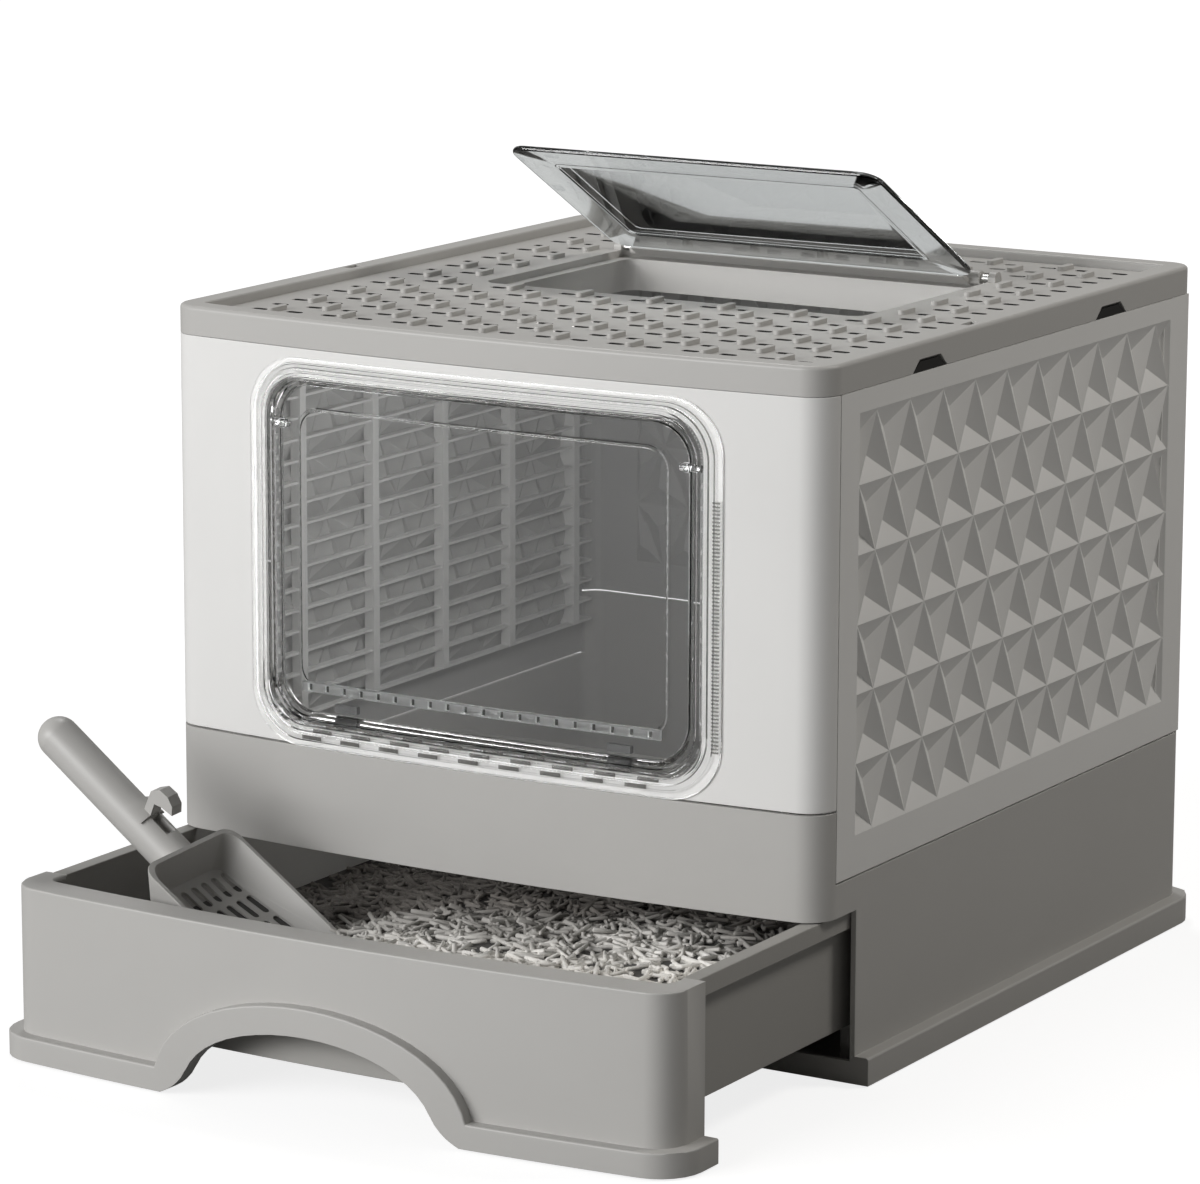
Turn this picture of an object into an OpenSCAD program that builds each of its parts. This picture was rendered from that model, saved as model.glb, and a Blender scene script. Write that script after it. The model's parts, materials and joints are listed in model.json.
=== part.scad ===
// Top-entry pet litter box with a pull-out drawer.
// Origin: centre of the housing's footprint, on the floor. +Y is the back, +Z is up.
// The drawer is drawn part-way out, the top hatch part-way open and the scoop stuck in the litter.

/* [Housing] */
// Width over the side walls
body_w = 400; // [380:1:440]
// Depth from the middle of the bowed front to the rear skirt
body_d = 446; // [430:1:480]
// Radius of the bowed front, seen from above
bow_r = 1900; // [1500:50:3000]
// Radius of the two front corners
front_corner_r = 17; // [13:1:24]
// Radius of the two rear corners
rear_corner_r = 15; // [13:1:22]
// Gap between a panel and what it stands on
seam = 0.3; // [0.2:0.05:0.5]

/* [Base] */
// Thickness of the base's walls and floor
base_t = 3; // [2.5:0.1:3.5]
// Height of the base's side walls
base_side_h = 110.5; // [106:0.5:118]
// Height of the base's front crossbar and rear wall
base_end_h = 148.5; // [140:0.5:158]
// Height of the opening that the drawer runs through
drawer_door_h = 92.7; // [92.6:0.1:98]
// How far the skirt stands out round the base
skirt_out = 8; // [5:0.5:10]
// Height of the skirt
skirt_h = 15; // [10:0.5:20]
// Height of the sill across the drawer opening
sill_h = 12; // [8:0.5:16]
// Distance from the bowed front back to the side walls' front edge
wall_setback = 47; // [42:1:54]
// Distance from the bowed front back to the step beside the crossbar
step_setback = 25; // [22:1:30]
// Length of the rear corners that belong to the base's rear wall
rear_step = 9; // [6:0.5:12]
// Width of the two rails that the drawer slides on
rail_w = 16; // [10:1:24]

/* [Panels] */
// Thickness of the white panels
panel_t = 2.6; // [2.2:0.1:3]
// Triangles along a side panel
relief_cols = 10; // [8:1:10]
// Rows of triangles on a side panel
relief_rows = 6; // [4:1:6]
// Triangles along the rear panel
rear_relief_cols = 9; // [7:1:9]
// Rows of triangles on the rear panel
rear_relief_rows = 5; // [3:1:5]
// Depth of the sunken pyramids
relief_depth = 6; // [4:0.5:6.5]
// Plain border before the relief of a side panel
relief_front_border = 20; // [16:0.5:30]
// Plain border behind the relief of a side panel
relief_rear_border = 24; // [18:0.5:34]
// Plain border under the relief of a side panel
relief_low_border = 23; // [20:0.5:30]
// Plain border above the relief of every panel
relief_top_border = 13; // [12:0.5:20]
// Plain borders beside the relief of the rear panel
rear_relief_border = 38; // [30:0.5:50]
// Plain border under the relief of the rear panel
rear_relief_low_border = 21; // [16:0.5:30]

/* [Window] */
// Width of the window frame
window_w = 288; // [276:1:296]
// Height of the window frame
window_h = 208.5; // [190:0.5:225]
// White border above the window frame
window_top_border = 5; // [3:0.5:20]
// White border under the window frame
window_low_border = 0.5; // [0.4:0.1:20]
// Corner radius of the window frame
window_r = 30; // [26:1:34]
// Width of the ring between the frame's outside and the door
window_ring = 18; // [16:0.5:20]
// Running gap round the swinging door
door_gap = 1; // [0.8:0.1:1.5]
// Thickness of the door pane
pane_t = 2.5; // [2:0.1:3]
// Distance of the door's pivot below its top edge
pivot_drop = 22; // [18:1:28]
// Radius of the pivot pins
pivot_r = 2; // [1.5:0.1:2.5]

/* [Lid] */
// Height of the lid's outer face
lid_h = 15.5; // [14:0.5:18]
// Thickness of the lid
lid_t = 2.5; // [2:0.1:3]
// Width of the raised rim
rim_w = 14; // [12:0.5:18]
// Depth of the deck below the rim
deck_drop = 5; // [4:0.5:6]
// Columns of drain slots
slot_cols = 16; // [12:2:16]
// Rows of drain slots
slot_rows = 20; // [16:1:20]
// Distance of the outer columns from the sides
slot_side_border = 33.5; // [30:0.5:45]
// Distance of the first row from the front
slot_front_border = 47; // [36:1:50]
// Distance of the last row from the rear skirt
slot_rear_border = 38; // [34:1:50]
// Length of a drain slot
slot_l = 10; // [6:0.5:11]
// Width of a drain slot
slot_w = 5; // [3:0.5:5.5]
// Length of a raised tread
tread_l = 15; // [11:0.5:15.5]
// Width of a raised tread
tread_w = 4.5; // [3.5:0.5:7]
// Height of a raised tread
tread_h = 2.5; // [2:0.5:3.5]

/* [Top hatch] */
// Width of the hatch flap
flap_w = 232; // [220:1:240]
// Length of the hatch flap from its hinge
flap_l = 150; // [140:1:160]
// Thickness of the hatch flap
flap_t = 3; // [2.4:0.1:3.2]
// Angle that the hatch stands open
hatch_open = 30; // [0:1:100]
// Distance of the hinge from the rear skirt
hinge_setback = 101; // [97:1:112]
// Height of the hinge above the deck
hinge_rise = 1.5; // [1:0.1:3]
// Width of the ledge that the closed flap rests on
ledge_w = 7; // [5:0.5:9]
// Depth of the collar below the deck
collar_h = 22; // [15:0.5:24]
// Radius of the hatch hinge pins
hatch_pin_r = 2; // [1.5:0.1:2.4]

/* [Drawer] */
// How far the drawer stands out
drawer_out = 148; // [120:1:160]
// Height of the drawer
drawer_h = 92; // [88:0.5:92]
// Gap between the drawer's front and the floor
drawer_lift = 0.5; // [0.4:0.1:2]
// Thickness of the drawer's walls
drawer_t = 3; // [2.4:0.1:3.2]
// Half width of the drawer's rim
drawer_half_w = 196; // [194:0.1:196.2]
// Width of the rim along the sides
side_rim_w = 9; // [8:0.5:9]
// Width of the rim along the front
front_rim_w = 20; // [18:0.5:24]
// Height of the rim's outer lip
lip_h = 10; // [8:0.5:12]
// Depth of the side returns of the drawer's front
return_d = 42; // [36:1:45]
// Height of the tub's underside
tub_z = 27; // [24:0.5:30]
// Length of the tub from the drawer's front to its rear
tub_l = 430; // [400:1:432]
// Half width of the hand arch at the floor
arch_half_w = 77; // [65:1:85]
// Height of the hand arch
arch_h = 43; // [36:1:48]
// Width of the raised band round the hand arch
arch_band = 15; // [10:0.5:18]

/* [Litter] */
// Depth of the litter over the tub's floor
litter_d = 42; // [25:1:46]

/* [Scoop] */
// Length of the scoop's pan
pan_l = 89; // [80:1:96]
// Width of the scoop's pan
pan_w = 72; // [64:1:76]
// Depth of the pan at its back
pan_d = 20; // [16:0.5:24]
// Thickness of the pan
pan_t = 2; // [1.6:0.1:2.5]
// Length of the handle behind the pan
handle_l = 106; // [90:1:120]
// Radius of the handle
handle_r = 11.3; // [9:0.1:12]
// Angle that the scoop leans at
scoop_tilt = 35; // [33:1:37]
// Angle that the scoop's far side is raised by
scoop_roll = 7.5; // [0:0.5:10]

/* [Hidden] */

grey = [0.61, 0.6, 0.58];
dark_grey = [0.3, 0.29, 0.28];
white = [0.86, 0.85, 0.83];
clear = [0.8, 0.85, 0.86, 0.4];
smoke = [0.45, 0.48, 0.48, 0.5];
steel = [0.7, 0.7, 0.7];
straw = [0.78, 0.76, 0.72];

eps = 0.01;
arc_steps = 6;      // straight stretches in a corner of an outline
bow_steps = 20;     // straight stretches along the bowed front
pin_clear = 0.05;   // radial running clearance of a pin in its bore
fit_clear = 0.3;    // gap between two pieces that fit together
lay_clear = 0.03;   // gap between two faces that lie on each other
big = 1000;         // longer than anything, for cutting

half_w = body_w / 2;
front_y = -body_d / 2;
rear_y = body_d / 2 - skirt_out;
wall_front_y = front_y + wall_setback;
step_front_y = front_y + step_setback;
step_rear_y = rear_y - rear_step;

lid_z = base_end_h + window_low_border + window_h + window_top_border;
body_h = lid_z + lid_h;
deck_z = body_h - deck_drop;
panel_top = lid_z - seam;

// Relief blocks behind the panels' faces
relief_skin = 0.5;                       // the ridges lie this far below the panel's face
relief_over = 0.6;                       // the cutting pyramids reach this far above the ridges
relief_shrink = 0.96;                    // the bulges on the inside leave a narrow valley between them
relief_t = relief_skin + panel_t;        // wall behind the ridges
block_edge = 3;
side_relief_y = step_front_y + relief_front_border;
side_relief_z = base_side_h + relief_low_border;
side_cell = [(step_rear_y - relief_rear_border - side_relief_y) / relief_cols,
             (lid_z - relief_top_border - side_relief_z) / relief_rows];
rear_relief_x = half_w - rear_relief_border;
rear_relief_z = base_end_h + rear_relief_low_border;
rear_cell = [2 * rear_relief_x / rear_relief_cols,
             (lid_z - relief_top_border - rear_relief_z) / rear_relief_rows];
lip_drop = 8.5;                          // how far the lid's inner lip reaches below its outer face

// Window
window_z = base_end_h + window_low_border + window_h / 2;
frame_body = 7;                          // width of the part of the frame that goes through the panel
flange_over = window_ring - frame_body;  // the frame's flange laps over the panel by this much
frame_proud = 4;
frame_step = 7;                          // width of the frame's lower outer step
frame_back = 6;
door_rise = 2.5;                         // the door sits this much above the frame's middle
door_w = window_w - 2 * (window_ring + door_gap);
door_h = window_h - 2 * (window_ring + door_gap) + 5;
door_corner = 9;                         // the door's corners are rounder than the frame's by this
door_r = window_r - door_corner;
door_z = window_z + door_rise;
pivot_z = door_z + door_h / 2 - pivot_drop;
boss_r = pivot_r + 1.6;
boss_l = 7;
pin_in = 4;                              // how far a pivot pin reaches into the frame
magnet = [14, 3, 4];
magnet_x = 84;
magnet_in = 3.2;                         // a frame magnet's middle lies this far from the door's opening
grip_w = 220;
grip_h = 7;
grip_rise = 14;
grip_proud = 2.4;
border_rise = 0.8;

// Hatch
hinge_y = body_d / 2 - hinge_setback;
hinge_z = deck_z + hinge_rise;
knuckle_r = 4;
bar_l = 12;
bar_w = flap_w - 6;
ledge_z = deck_z - flap_t - 1;
flap_top = deck_z - 0.5 - hinge_z;       // closed flap's upper face, from the hinge
well_gap = 2;                            // gap round the closed flap
well_half_w = flap_w / 2 + well_gap + 0.5;
well_front_y = hinge_y - flap_l - well_gap;
well_rear_y = hinge_y + knuckle_r + 1;
ear_w = 5;
ear_x = well_half_w - 0.5;
pin_from_x = flap_w / 2 - 12;

// Drain slots and treads
slot_x0 = -half_w + slot_side_border;
slot_y0 = front_y + slot_front_border;
slot_pitch_x = -2 * slot_x0 / (slot_cols - 1);
slot_pitch_y = (body_d - slot_front_border - slot_rear_border) / (slot_rows - 1);
clear_half_w = well_half_w + 6;          // no slots or treads nearer to the hatch than this
notch_w = 40;
notch_top_w = 23;
notch_h = 6.5;
notch_from_front = 119;
notch_from_rear = 108.5;
notch_y = [front_y + notch_from_front, rear_y - notch_from_rear];
catch_clear = 1.2;
finger_slot = [5, 12];
finger_from_front = 176;
finger_from_side = 7;

// Drawer
drawer_front_y = front_y - drawer_out;
tub_half_w = drawer_half_w - 6;
tub_rear_y = drawer_front_y + tub_l;
return_y = drawer_front_y + return_d;
web_t = 2.5;
rim_z = drawer_h - web_t;
tub_front_in = front_rim_w - drawer_t;   // tub's front wall, behind the drawer's front
grip_lip = 6;                            // the tub's front wall hangs this far below its floor
rail_top = tub_z - 0.3;
rail_front_y = wall_front_y + 20;
rail_l = rear_y - base_t - 20 - rail_front_y;
litter_clear = 0.4;
litter_z = tub_z + drawer_t;
litter_top = litter_z + litter_d;
// The bed's surface: distance from the middle, and height over its mean height or over the floor
bed_top = [[half_w, -6], [145, 0], [40, 3], [-20, -1], [-60, -10], [-108, -18]];
bed_toe = [[-140, 14], [-half_w, 5]];
arch_x = -4;

// Scoop: local X runs from the pan's back to its tip, local Z is up from the rim
scoop_from_side = 71;
scoop_from_front = 69;
scoop_rise = 17.5;
scoop_at = [-half_w + scoop_from_side, drawer_front_y + scoop_from_front, drawer_h + scoop_rise];
tip_d = 9;
open_tip = 12;                           // the pan's inside runs out through its tip by this much
heap_from = 24;
heap_d = 60;
pan_draft = 5;
pan_corner = 9;
slot_size = [15, 4.6];
handle_tilt = 2.2;
handle_drop = 11.9;
hook_at = 25;
hook_w = 8;
hook_l = 11;                             // length of the saddle that the hook stands on
hook_t = 1.5;                            // thickness of the saddle
saddle_rise = 0.7;                       // the saddle ends at this share of the handle's radius
hook_hole = [13, 7, 5];                  // pocket in the handle under the hook's beak
// The hook seen from the side: distance towards the pan, and height over the saddle
hook_outline = [[-5, -1], [0, -1], [-1.5, 6.5], [3, 8.5], [10.5, 9.5], [8, 14], [3, 16.5], [-3, 16], [-7, 11]];
scoop_fn = 24;

// ---- outlines -------------------------------------------------------------

// Half of the bowed front with its corner, from the middle to the side.
// hw: half width, fy: y of the bow's middle, r: bow radius, c: corner radius
function front_half(hw, fy, r, c) =
    let (cx = hw - c,
         by = fy + r,
         cy = by - sqrt(pow(r - c, 2) - cx * cx),
         a0 = atan2(cy - by, cx),
         x1 = r * cos(a0))
    concat([for (i = [1 : bow_steps]) let (x = x1 * i / bow_steps) [x, by - sqrt(r * r - x * x)]],
           [for (i = [1 : arc_steps]) let (a = a0 - a0 * i / arc_steps) [cx + c * cos(a), cy + c * sin(a)]]);

function mirror_x(pts) = [for (i = [len(pts) - 1 : -1 : 0]) [-pts[i][0], pts[i][1]]];

// Closed outline: bowed front, straight sides, straight rear with round corners
function outline(hw, fy, ry, r, fc, rc) =
    let (h = concat(front_half(hw, fy, r, fc),
                    [for (i = [0 : arc_steps]) let (a = 90 * i / arc_steps)
                        [hw - rc + rc * cos(a), ry - rc + rc * sin(a)]]))
    concat([[0, fy]], h, mirror_x(h));

// The housing's outline, moved inwards by d
module housing_outline(d = 0) {
    polygon(outline(half_w - d, front_y + d, rear_y - d, bow_r - d,
                    max(front_corner_r - d, 2), max(rear_corner_r - d, 2)));
}

// The drawer's front outline, moved inwards by d, straight to y = ry
module drawer_outline(hw, d, ry) {
    polygon(outline(hw, drawer_front_y + d, ry, bow_r - d, max(front_corner_r - d, 6), 6));
}

module rrect(w, h, r) {
    square([w - 2 * r, h], center = true);
    square([w, h - 2 * r], center = true);
    for (sx = [-1, 1], sy = [-1, 1])
        translate([sx * (w / 2 - r), sy * (h / 2 - r)]) circle(r, $fn = 48);
}

module stadium(l, w) {
    square([l - w, w], center = true);
    for (s = [-1, 1]) translate([s * (l - w) / 2, 0]) circle(w / 2, $fn = 24);
}

// A flat shape on the front, drawn in X and Z, kept between two offsets of the bow
module on_front(out, back) {
    intersection() {
        translate([0, front_y + wall_setback, 0]) rotate([90, 0, 0])
            linear_extrude(wall_setback + 20) children();
        linear_extrude(body_h) difference() {
            bow_fill(-out);
            bow_fill(back);
        }
    }
}

module bow_fill(d) {
    hw = half_w;
    pts = [for (i = [-bow_steps : bow_steps]) let (x = hw * i / bow_steps)
           [x, front_y + bow_r - sqrt(pow(bow_r - d, 2) - x * x)]];
    polygon(concat(pts, [[hw, 0], [-hw, 0]]));
}

function bow_at(x) = front_y + bow_r - sqrt(bow_r * bow_r - x * x);

// ---- relief of sunken three-sided pyramids --------------------------------

// Pyramid that points down from the triangle t of the plane z = 0 to its apex at -depth,
// with the triangle scaled by k, and carried on upwards to z = over
module pyramid(t, k, depth, over) {
    c = (t[0] + t[1] + t[2]) / 3;
    u = [for (v = t) c + (v - c) * k * (1 + over / depth)];
    polyhedron(points = [[u[0][0], u[0][1], over], [u[1][0], u[1][1], over], [u[2][0], u[2][1], over],
                         [c[0], c[1], -depth]],
               faces = [[2, 1, 0], [0, 1, 3], [1, 2, 3], [2, 0, 3]]);
}

// Triangles of the relief, from the corner at the origin, each one listed anticlockwise
function relief_triangles(cols, rows, cell) =
    [for (r = [0 : rows - 1])
        let (p = cell[0], flip = r % 2 == 0, y0 = r * cell[1], y1 = (r + 1) * cell[1],
             ya = flip ? y1 : y0, yb = flip ? y0 : y1)
        each concat(
            [for (i = [0 : cols - 1]) turned([i * p, ya], [(i + 1) * p, ya], [(i + 0.5) * p, yb], flip)],
            [for (i = [0 : cols - 2]) turned([(i + 0.5) * p, yb], [(i + 1.5) * p, yb], [(i + 1) * p, ya], !flip)],
            [turned([0, ya], [0.5 * p, yb], [0, yb], flip),
             turned([cols * p, ya], [cols * p, yb], [(cols - 0.5) * p, yb], flip)])];

function turned(a, b, c, swap) = swap ? [a, c, b] : [a, b, c];

// cols by rows of sunken pyramids below the plane z = 0
module relief_cut(cols, rows, cell) {
    linear_extrude(relief_skin + 1) square([cols * cell[0], rows * cell[1]]);
    for (t = relief_triangles(cols, rows, cell)) pyramid(t, 1, relief_depth, relief_over);
}

// The wall behind them: a plate, and a bulge under each pyramid
module relief_back(cols, rows, cell) {
    translate([-block_edge, -block_edge, -panel_t])
        cube([cols * cell[0] + 2 * block_edge, rows * cell[1] + 2 * block_edge, relief_t - eps]);
    translate([0, 0, -panel_t])
        for (t = relief_triangles(cols, rows, cell)) pyramid(t, relief_shrink, relief_depth, 1);
}

// ---- base -----------------------------------------------------------------

module base() color(grey) {
    difference() {
        union() {
            linear_extrude(base_end_h) housing_outline();
            skirt();
        }
        // inside
        translate([0, 0, base_t]) linear_extrude(body_h) housing_outline(base_t);
        // drawer opening
        translate([-big / 2, front_y - big, -1]) cube([big, big + wall_setback, drawer_door_h + 1]);
        // side walls stay low between the two steps
        translate([-big / 2, step_front_y, base_side_h]) cube([big, step_rear_y - step_front_y, big]);
    }
    translate([-half_w + base_t, wall_front_y, 0]) cube([body_w - 2 * base_t, base_t, sill_h]);
}

module skirt() {
    intersection() {
        linear_extrude(skirt_h)
            polygon(outline(half_w + skirt_out, front_y, rear_y + skirt_out, bow_r, front_corner_r,
                            rear_corner_r + skirt_out));
        translate([-big / 2, wall_front_y, 0]) cube([big, big, big]);
    }
}

// Hollow ribs, open underneath
module drawer_rails() color(grey)
    for (s = [-1, 1])
        translate([s * (half_w - base_t - fit_clear - rail_w / 2), rail_front_y, base_t])
            difference() {
                translate([-rail_w / 2, 0, 0]) cube([rail_w, rail_l, rail_top - base_t]);
                translate([-rail_w / 2 + base_t, base_t, -1])
                    cube([rail_w - 2 * base_t, rail_l - 2 * base_t, rail_top - 2 * base_t + 1]);
            }

// ---- panels ---------------------------------------------------------------

module side_panel() {
    len = step_rear_y - step_front_y - 2 * seam;
    difference() {
        union() {
            translate([half_w - panel_t, step_front_y + seam, base_side_h + seam])
                cube([panel_t, len, panel_top - base_side_h - seam]);
            side_relief_place() relief_back(relief_cols, relief_rows, side_cell);
        }
        side_relief_place() relief_cut(relief_cols, relief_rows, side_cell);
    }
}

module side_relief_place()
    translate([half_w - relief_skin, side_relief_y, side_relief_z]) rotate([90, 0, 90]) children();

module right_panel() color(white) side_panel();
module left_panel() color(white) mirror([1, 0, 0]) side_panel();

module front_panel() color(white)
    difference() {
        translate([0, 0, base_end_h + seam]) linear_extrude(panel_top - base_end_h - seam)
            intersection() {
                difference() {
                    housing_outline();
                    housing_outline(panel_t);
                }
                translate([-big / 2, front_y - 1]) square([big, step_setback + 1]);
            }
        translate([0, front_y + wall_setback, window_z]) rotate([90, 0, 0])
            linear_extrude(wall_setback + 20)
                rrect(window_w - 2 * flange_over, window_h - 2 * flange_over, window_r - flange_over);
    }

module rear_panel() color(white)
    difference() {
        union() {
            translate([0, 0, base_end_h + seam]) linear_extrude(panel_top - base_end_h - seam)
                intersection() {
                    difference() {
                        housing_outline();
                        housing_outline(panel_t);
                    }
                    translate([-big / 2, step_rear_y]) square([big, big]);
                }
            rear_relief_place() relief_back(rear_relief_cols, rear_relief_rows, rear_cell);
        }
        rear_relief_place() relief_cut(rear_relief_cols, rear_relief_rows, rear_cell);
    }

module rear_relief_place()
    translate([rear_relief_x, rear_y - relief_skin, rear_relief_z]) rotate([90, 0, 180]) children();

module lid_catches() color(dark_grey)
    for (s = [-1, 1], y = notch_y)
        translate([s * (half_w - panel_t / 2), y, panel_top]) rotate([90, 0, 90])
            linear_extrude(panel_t - 1, center = true)
                polygon([[-notch_w / 2 + catch_clear, 0], [notch_w / 2 - catch_clear, 0],
                         [notch_top_w / 2 - catch_clear, notch_h - catch_clear],
                         [-notch_top_w / 2 + catch_clear, notch_h - catch_clear]]);

// ---- window and door ------------------------------------------------------

module window_frame() color(clear)
    difference() {
        union() {
            frame_tier(0, frame_proud / 2, -lay_clear);
            frame_tier(frame_step, frame_proud, 0);
            frame_tier(flange_over + fit_clear, frame_proud / 4, frame_back);
        }
        for (s = [-1, 1])
            translate([s * (door_w / 2 + door_gap - 1), pivot_y(), pivot_z]) rotate([0, s * 90, 0])
                cylinder(r = pivot_r + pin_clear, h = pin_in + 1.3, $fn = 32);
        for (s = [-1, 1]) magnet_seat(s, fit_clear / 2);
    }

// One ring of the frame, inset from its outside by d
module frame_tier(d, out, back)
    on_front(out, back) difference() {
        translate([0, window_z]) rrect(window_w - 2 * d, window_h - 2 * d, window_r - d);
        translate([0, door_z]) rrect(door_w + 2 * door_gap, door_h + 2 * door_gap, door_r + door_gap);
    }

function pivot_y() = bow_at(door_w / 2) + pane_t / 2;
function magnet_z() = door_z - door_h / 2 - door_gap - magnet_in;

module magnet_seat(s, c = 0)
    translate([s * magnet_x, bow_at(magnet_x) + frame_back - magnet[1] / 2 + c, magnet_z()])
        cube([magnet[0] + 2 * c, magnet[1] + 2 * c, magnet[2] + 2 * c], center = true);

module frame_magnets() color(steel)
    for (s = [-1, 1]) magnet_seat(s);

module door_pane() color(clear)
    difference() {
        union() {
            on_front(0, pane_t) translate([0, door_z]) rrect(door_w, door_h, door_r);
            on_front(border_rise, eps) translate([0, door_z]) difference() {
                rrect(door_w - 24, door_h - 24, door_r - 8);
                rrect(door_w - 28, door_h - 28, door_r - 10);
            }
            on_front(grip_proud, eps) translate([0, door_z - door_h / 2 + grip_rise])
                square([grip_w, grip_h], center = true);
            for (s = [-1, 1])
                translate([s * (door_w / 2 - boss_l - 0.6), pivot_y(), pivot_z]) rotate([0, s * 90, 0])
                    cylinder(r = boss_r, h = boss_l, $fn = 32);
        }
        for (s = [-1, 1])
            translate([s * (door_w / 2 - boss_l + 1), pivot_y(), pivot_z]) rotate([0, s * 90, 0])
                cylinder(r = pivot_r + 0.02, h = boss_l + 2, $fn = 32);
    }

module door_pins() color(clear)
    for (s = [-1, 1])
        translate([s * (door_w / 2 - boss_l + 1.1), pivot_y(), pivot_z]) rotate([0, s * 90, 0])
            cylinder(r = pivot_r, h = boss_l - 1.1 + door_gap + pin_in, $fn = 32);

module door_magnets() color(steel)
    for (s = [-1, 1])
        translate([s * magnet_x, bow_at(magnet_x + magnet[0] / 2) + pane_t + pin_clear + magnet[1] / 2,
                   door_z - door_h / 2 + 3.5])
            cube(magnet, center = true);

// ---- lid ------------------------------------------------------------------

module lid() color(grey)
    difference() {
        union() {
            // outer wall
            translate([0, 0, lid_z]) linear_extrude(lid_h) difference() {
                housing_outline();
                housing_outline(lid_t);
            }
            // top of the rim
            translate([0, 0, body_h - lid_t]) linear_extrude(lid_t) difference() {
                housing_outline();
                housing_outline(rim_w);
            }
            // inner wall of the rim
            translate([0, 0, deck_z - lid_t]) linear_extrude(deck_drop + lid_t - eps) difference() {
                housing_outline(rim_w - lid_t);
                housing_outline(rim_w);
            }
            // lip inside the panels
            translate([0, 0, lid_z - lip_drop]) linear_extrude(lid_h + lip_drop - eps) difference() {
                housing_outline(panel_t + 0.5);
                housing_outline(panel_t + 0.5 + lid_t);
            }
            // deck with its drain slots
            translate([0, 0, deck_z - lid_t]) linear_extrude(lid_t) difference() {
                housing_outline(rim_w - eps);
                drain_slots();
            }
            treads();
            hatch_well();
            hinge_ears();
        }
        // the well and the opening
        well_block(well_half_w, well_front_y, well_rear_y, ledge_z, big);
        well_block(well_half_w - ledge_w, well_front_y + ledge_w, well_rear_y - ledge_w - 4, 0, big);
        for (s = [-1, 1], y = notch_y)
            translate([s * half_w, y, lid_z]) rotate([90, 0, 90])
                linear_extrude(2 * lid_t + 0.6, center = true)
                    polygon([[-notch_w / 2, -1], [notch_w / 2, -1], [notch_top_w / 2, notch_h],
                             [-notch_top_w / 2, notch_h]]);
        for (s = [-1, 1])
            translate([s * (half_w - finger_from_side), front_y + finger_from_front, body_h - lid_t / 2])
                cube([finger_slot[0], finger_slot[1], lid_t + 1], center = true);
        for (s = [-1, 1]) hatch_bore(s, 0.02);
    }

module well_block(hw, y0, y1, z0, h)
    translate([0, (y0 + y1) / 2, z0]) linear_extrude(h) rrect(2 * hw, y1 - y0, 8);

module hatch_well() {
    // ledge and collar
    well_block(well_half_w + lid_t, well_front_y - lid_t, well_rear_y + lid_t, ledge_z - lid_t,
               deck_z - ledge_z + lid_t - eps);
    well_block(well_half_w - ledge_w + lid_t, well_front_y + ledge_w - lid_t,
               well_rear_y - ledge_w - 4 + lid_t, deck_z - collar_h, collar_h - 1);
}

module hinge_ears()
    for (s = [-1, 1])
        translate([s * (ear_x + ear_w / 2), hinge_y, deck_z - eps]) rotate([0, 90, 0])
            linear_extrude(ear_w, center = true) {
                translate([-hinge_rise, 0]) circle(knuckle_r, $fn = 32);
                translate([-hinge_rise, -knuckle_r]) square([hinge_rise, 2 * knuckle_r]);
            }

module hatch_bore(s, c)
    translate([s * pin_from_x, hinge_y, hinge_z]) rotate([0, s * 90, 0])
        cylinder(r = hatch_pin_r + c, h = ear_x + ear_w + 1 - pin_from_x, $fn = 32);

module hatch_pins() color(steel)
    for (s = [-1, 1])
        translate([s * (pin_from_x + 0.3), hinge_y, hinge_z]) rotate([0, s * 90, 0])
            cylinder(r = hatch_pin_r, h = ear_x + ear_w - pin_from_x - 0.3, $fn = 32);

// Keeps slots and treads off the hatch well
function near_hatch(x, y, m) =
    abs(x) < clear_half_w + m && y > well_front_y - 6 - m && y < well_rear_y + 12 + m;

function slot_x(i) = slot_x0 + slot_pitch_x * i;
function slot_y(j) = slot_y0 + slot_pitch_y * j;

module drain_slots()
    for (i = [0 : slot_cols - 1], j = [0 : slot_rows - 1])
        if (!near_hatch(slot_x(i), slot_y(j), slot_l / 2 - 4))
            translate([slot_x(i), slot_y(j)]) stadium(slot_l, slot_w);

// Treads stand between the slots of a row, in every other gap, staggered from row to row
module treads()
    translate([0, 0, deck_z - eps]) linear_extrude(tread_h)
        for (j = [0 : slot_rows - 1], i = [j % 2 : 2 : slot_cols - 2])
            let (x = slot_x(i + 0.5), y = slot_y(j))
                if (!near_hatch(x, y, tread_w / 2)) translate([x, y]) rotate(90) stadium(tread_l, tread_w);

// ---- hatch ----------------------------------------------------------------

// Drawn closed, with the hinge on the X axis, then stood open
module hatch_place()
    translate([0, hinge_y, hinge_z]) rotate([-hatch_open, 0, 0]) children();

module hatch_bar() color(grey) hatch_place()
    difference() {
        union() {
            translate([-bar_w / 2 + 6, -bar_l, flap_top - flap_t]) cube([bar_w - 12, bar_l, flap_t]);
            rotate([0, 90, 0]) cylinder(r = knuckle_r, h = bar_w, center = true, $fn = 32);
        }
        for (s = [-1, 1])
            translate([s * (pin_from_x - 0.2), 0, 0]) rotate([0, s * 90, 0])
                cylinder(r = hatch_pin_r + pin_clear, h = 60, $fn = 32);
    }

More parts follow.
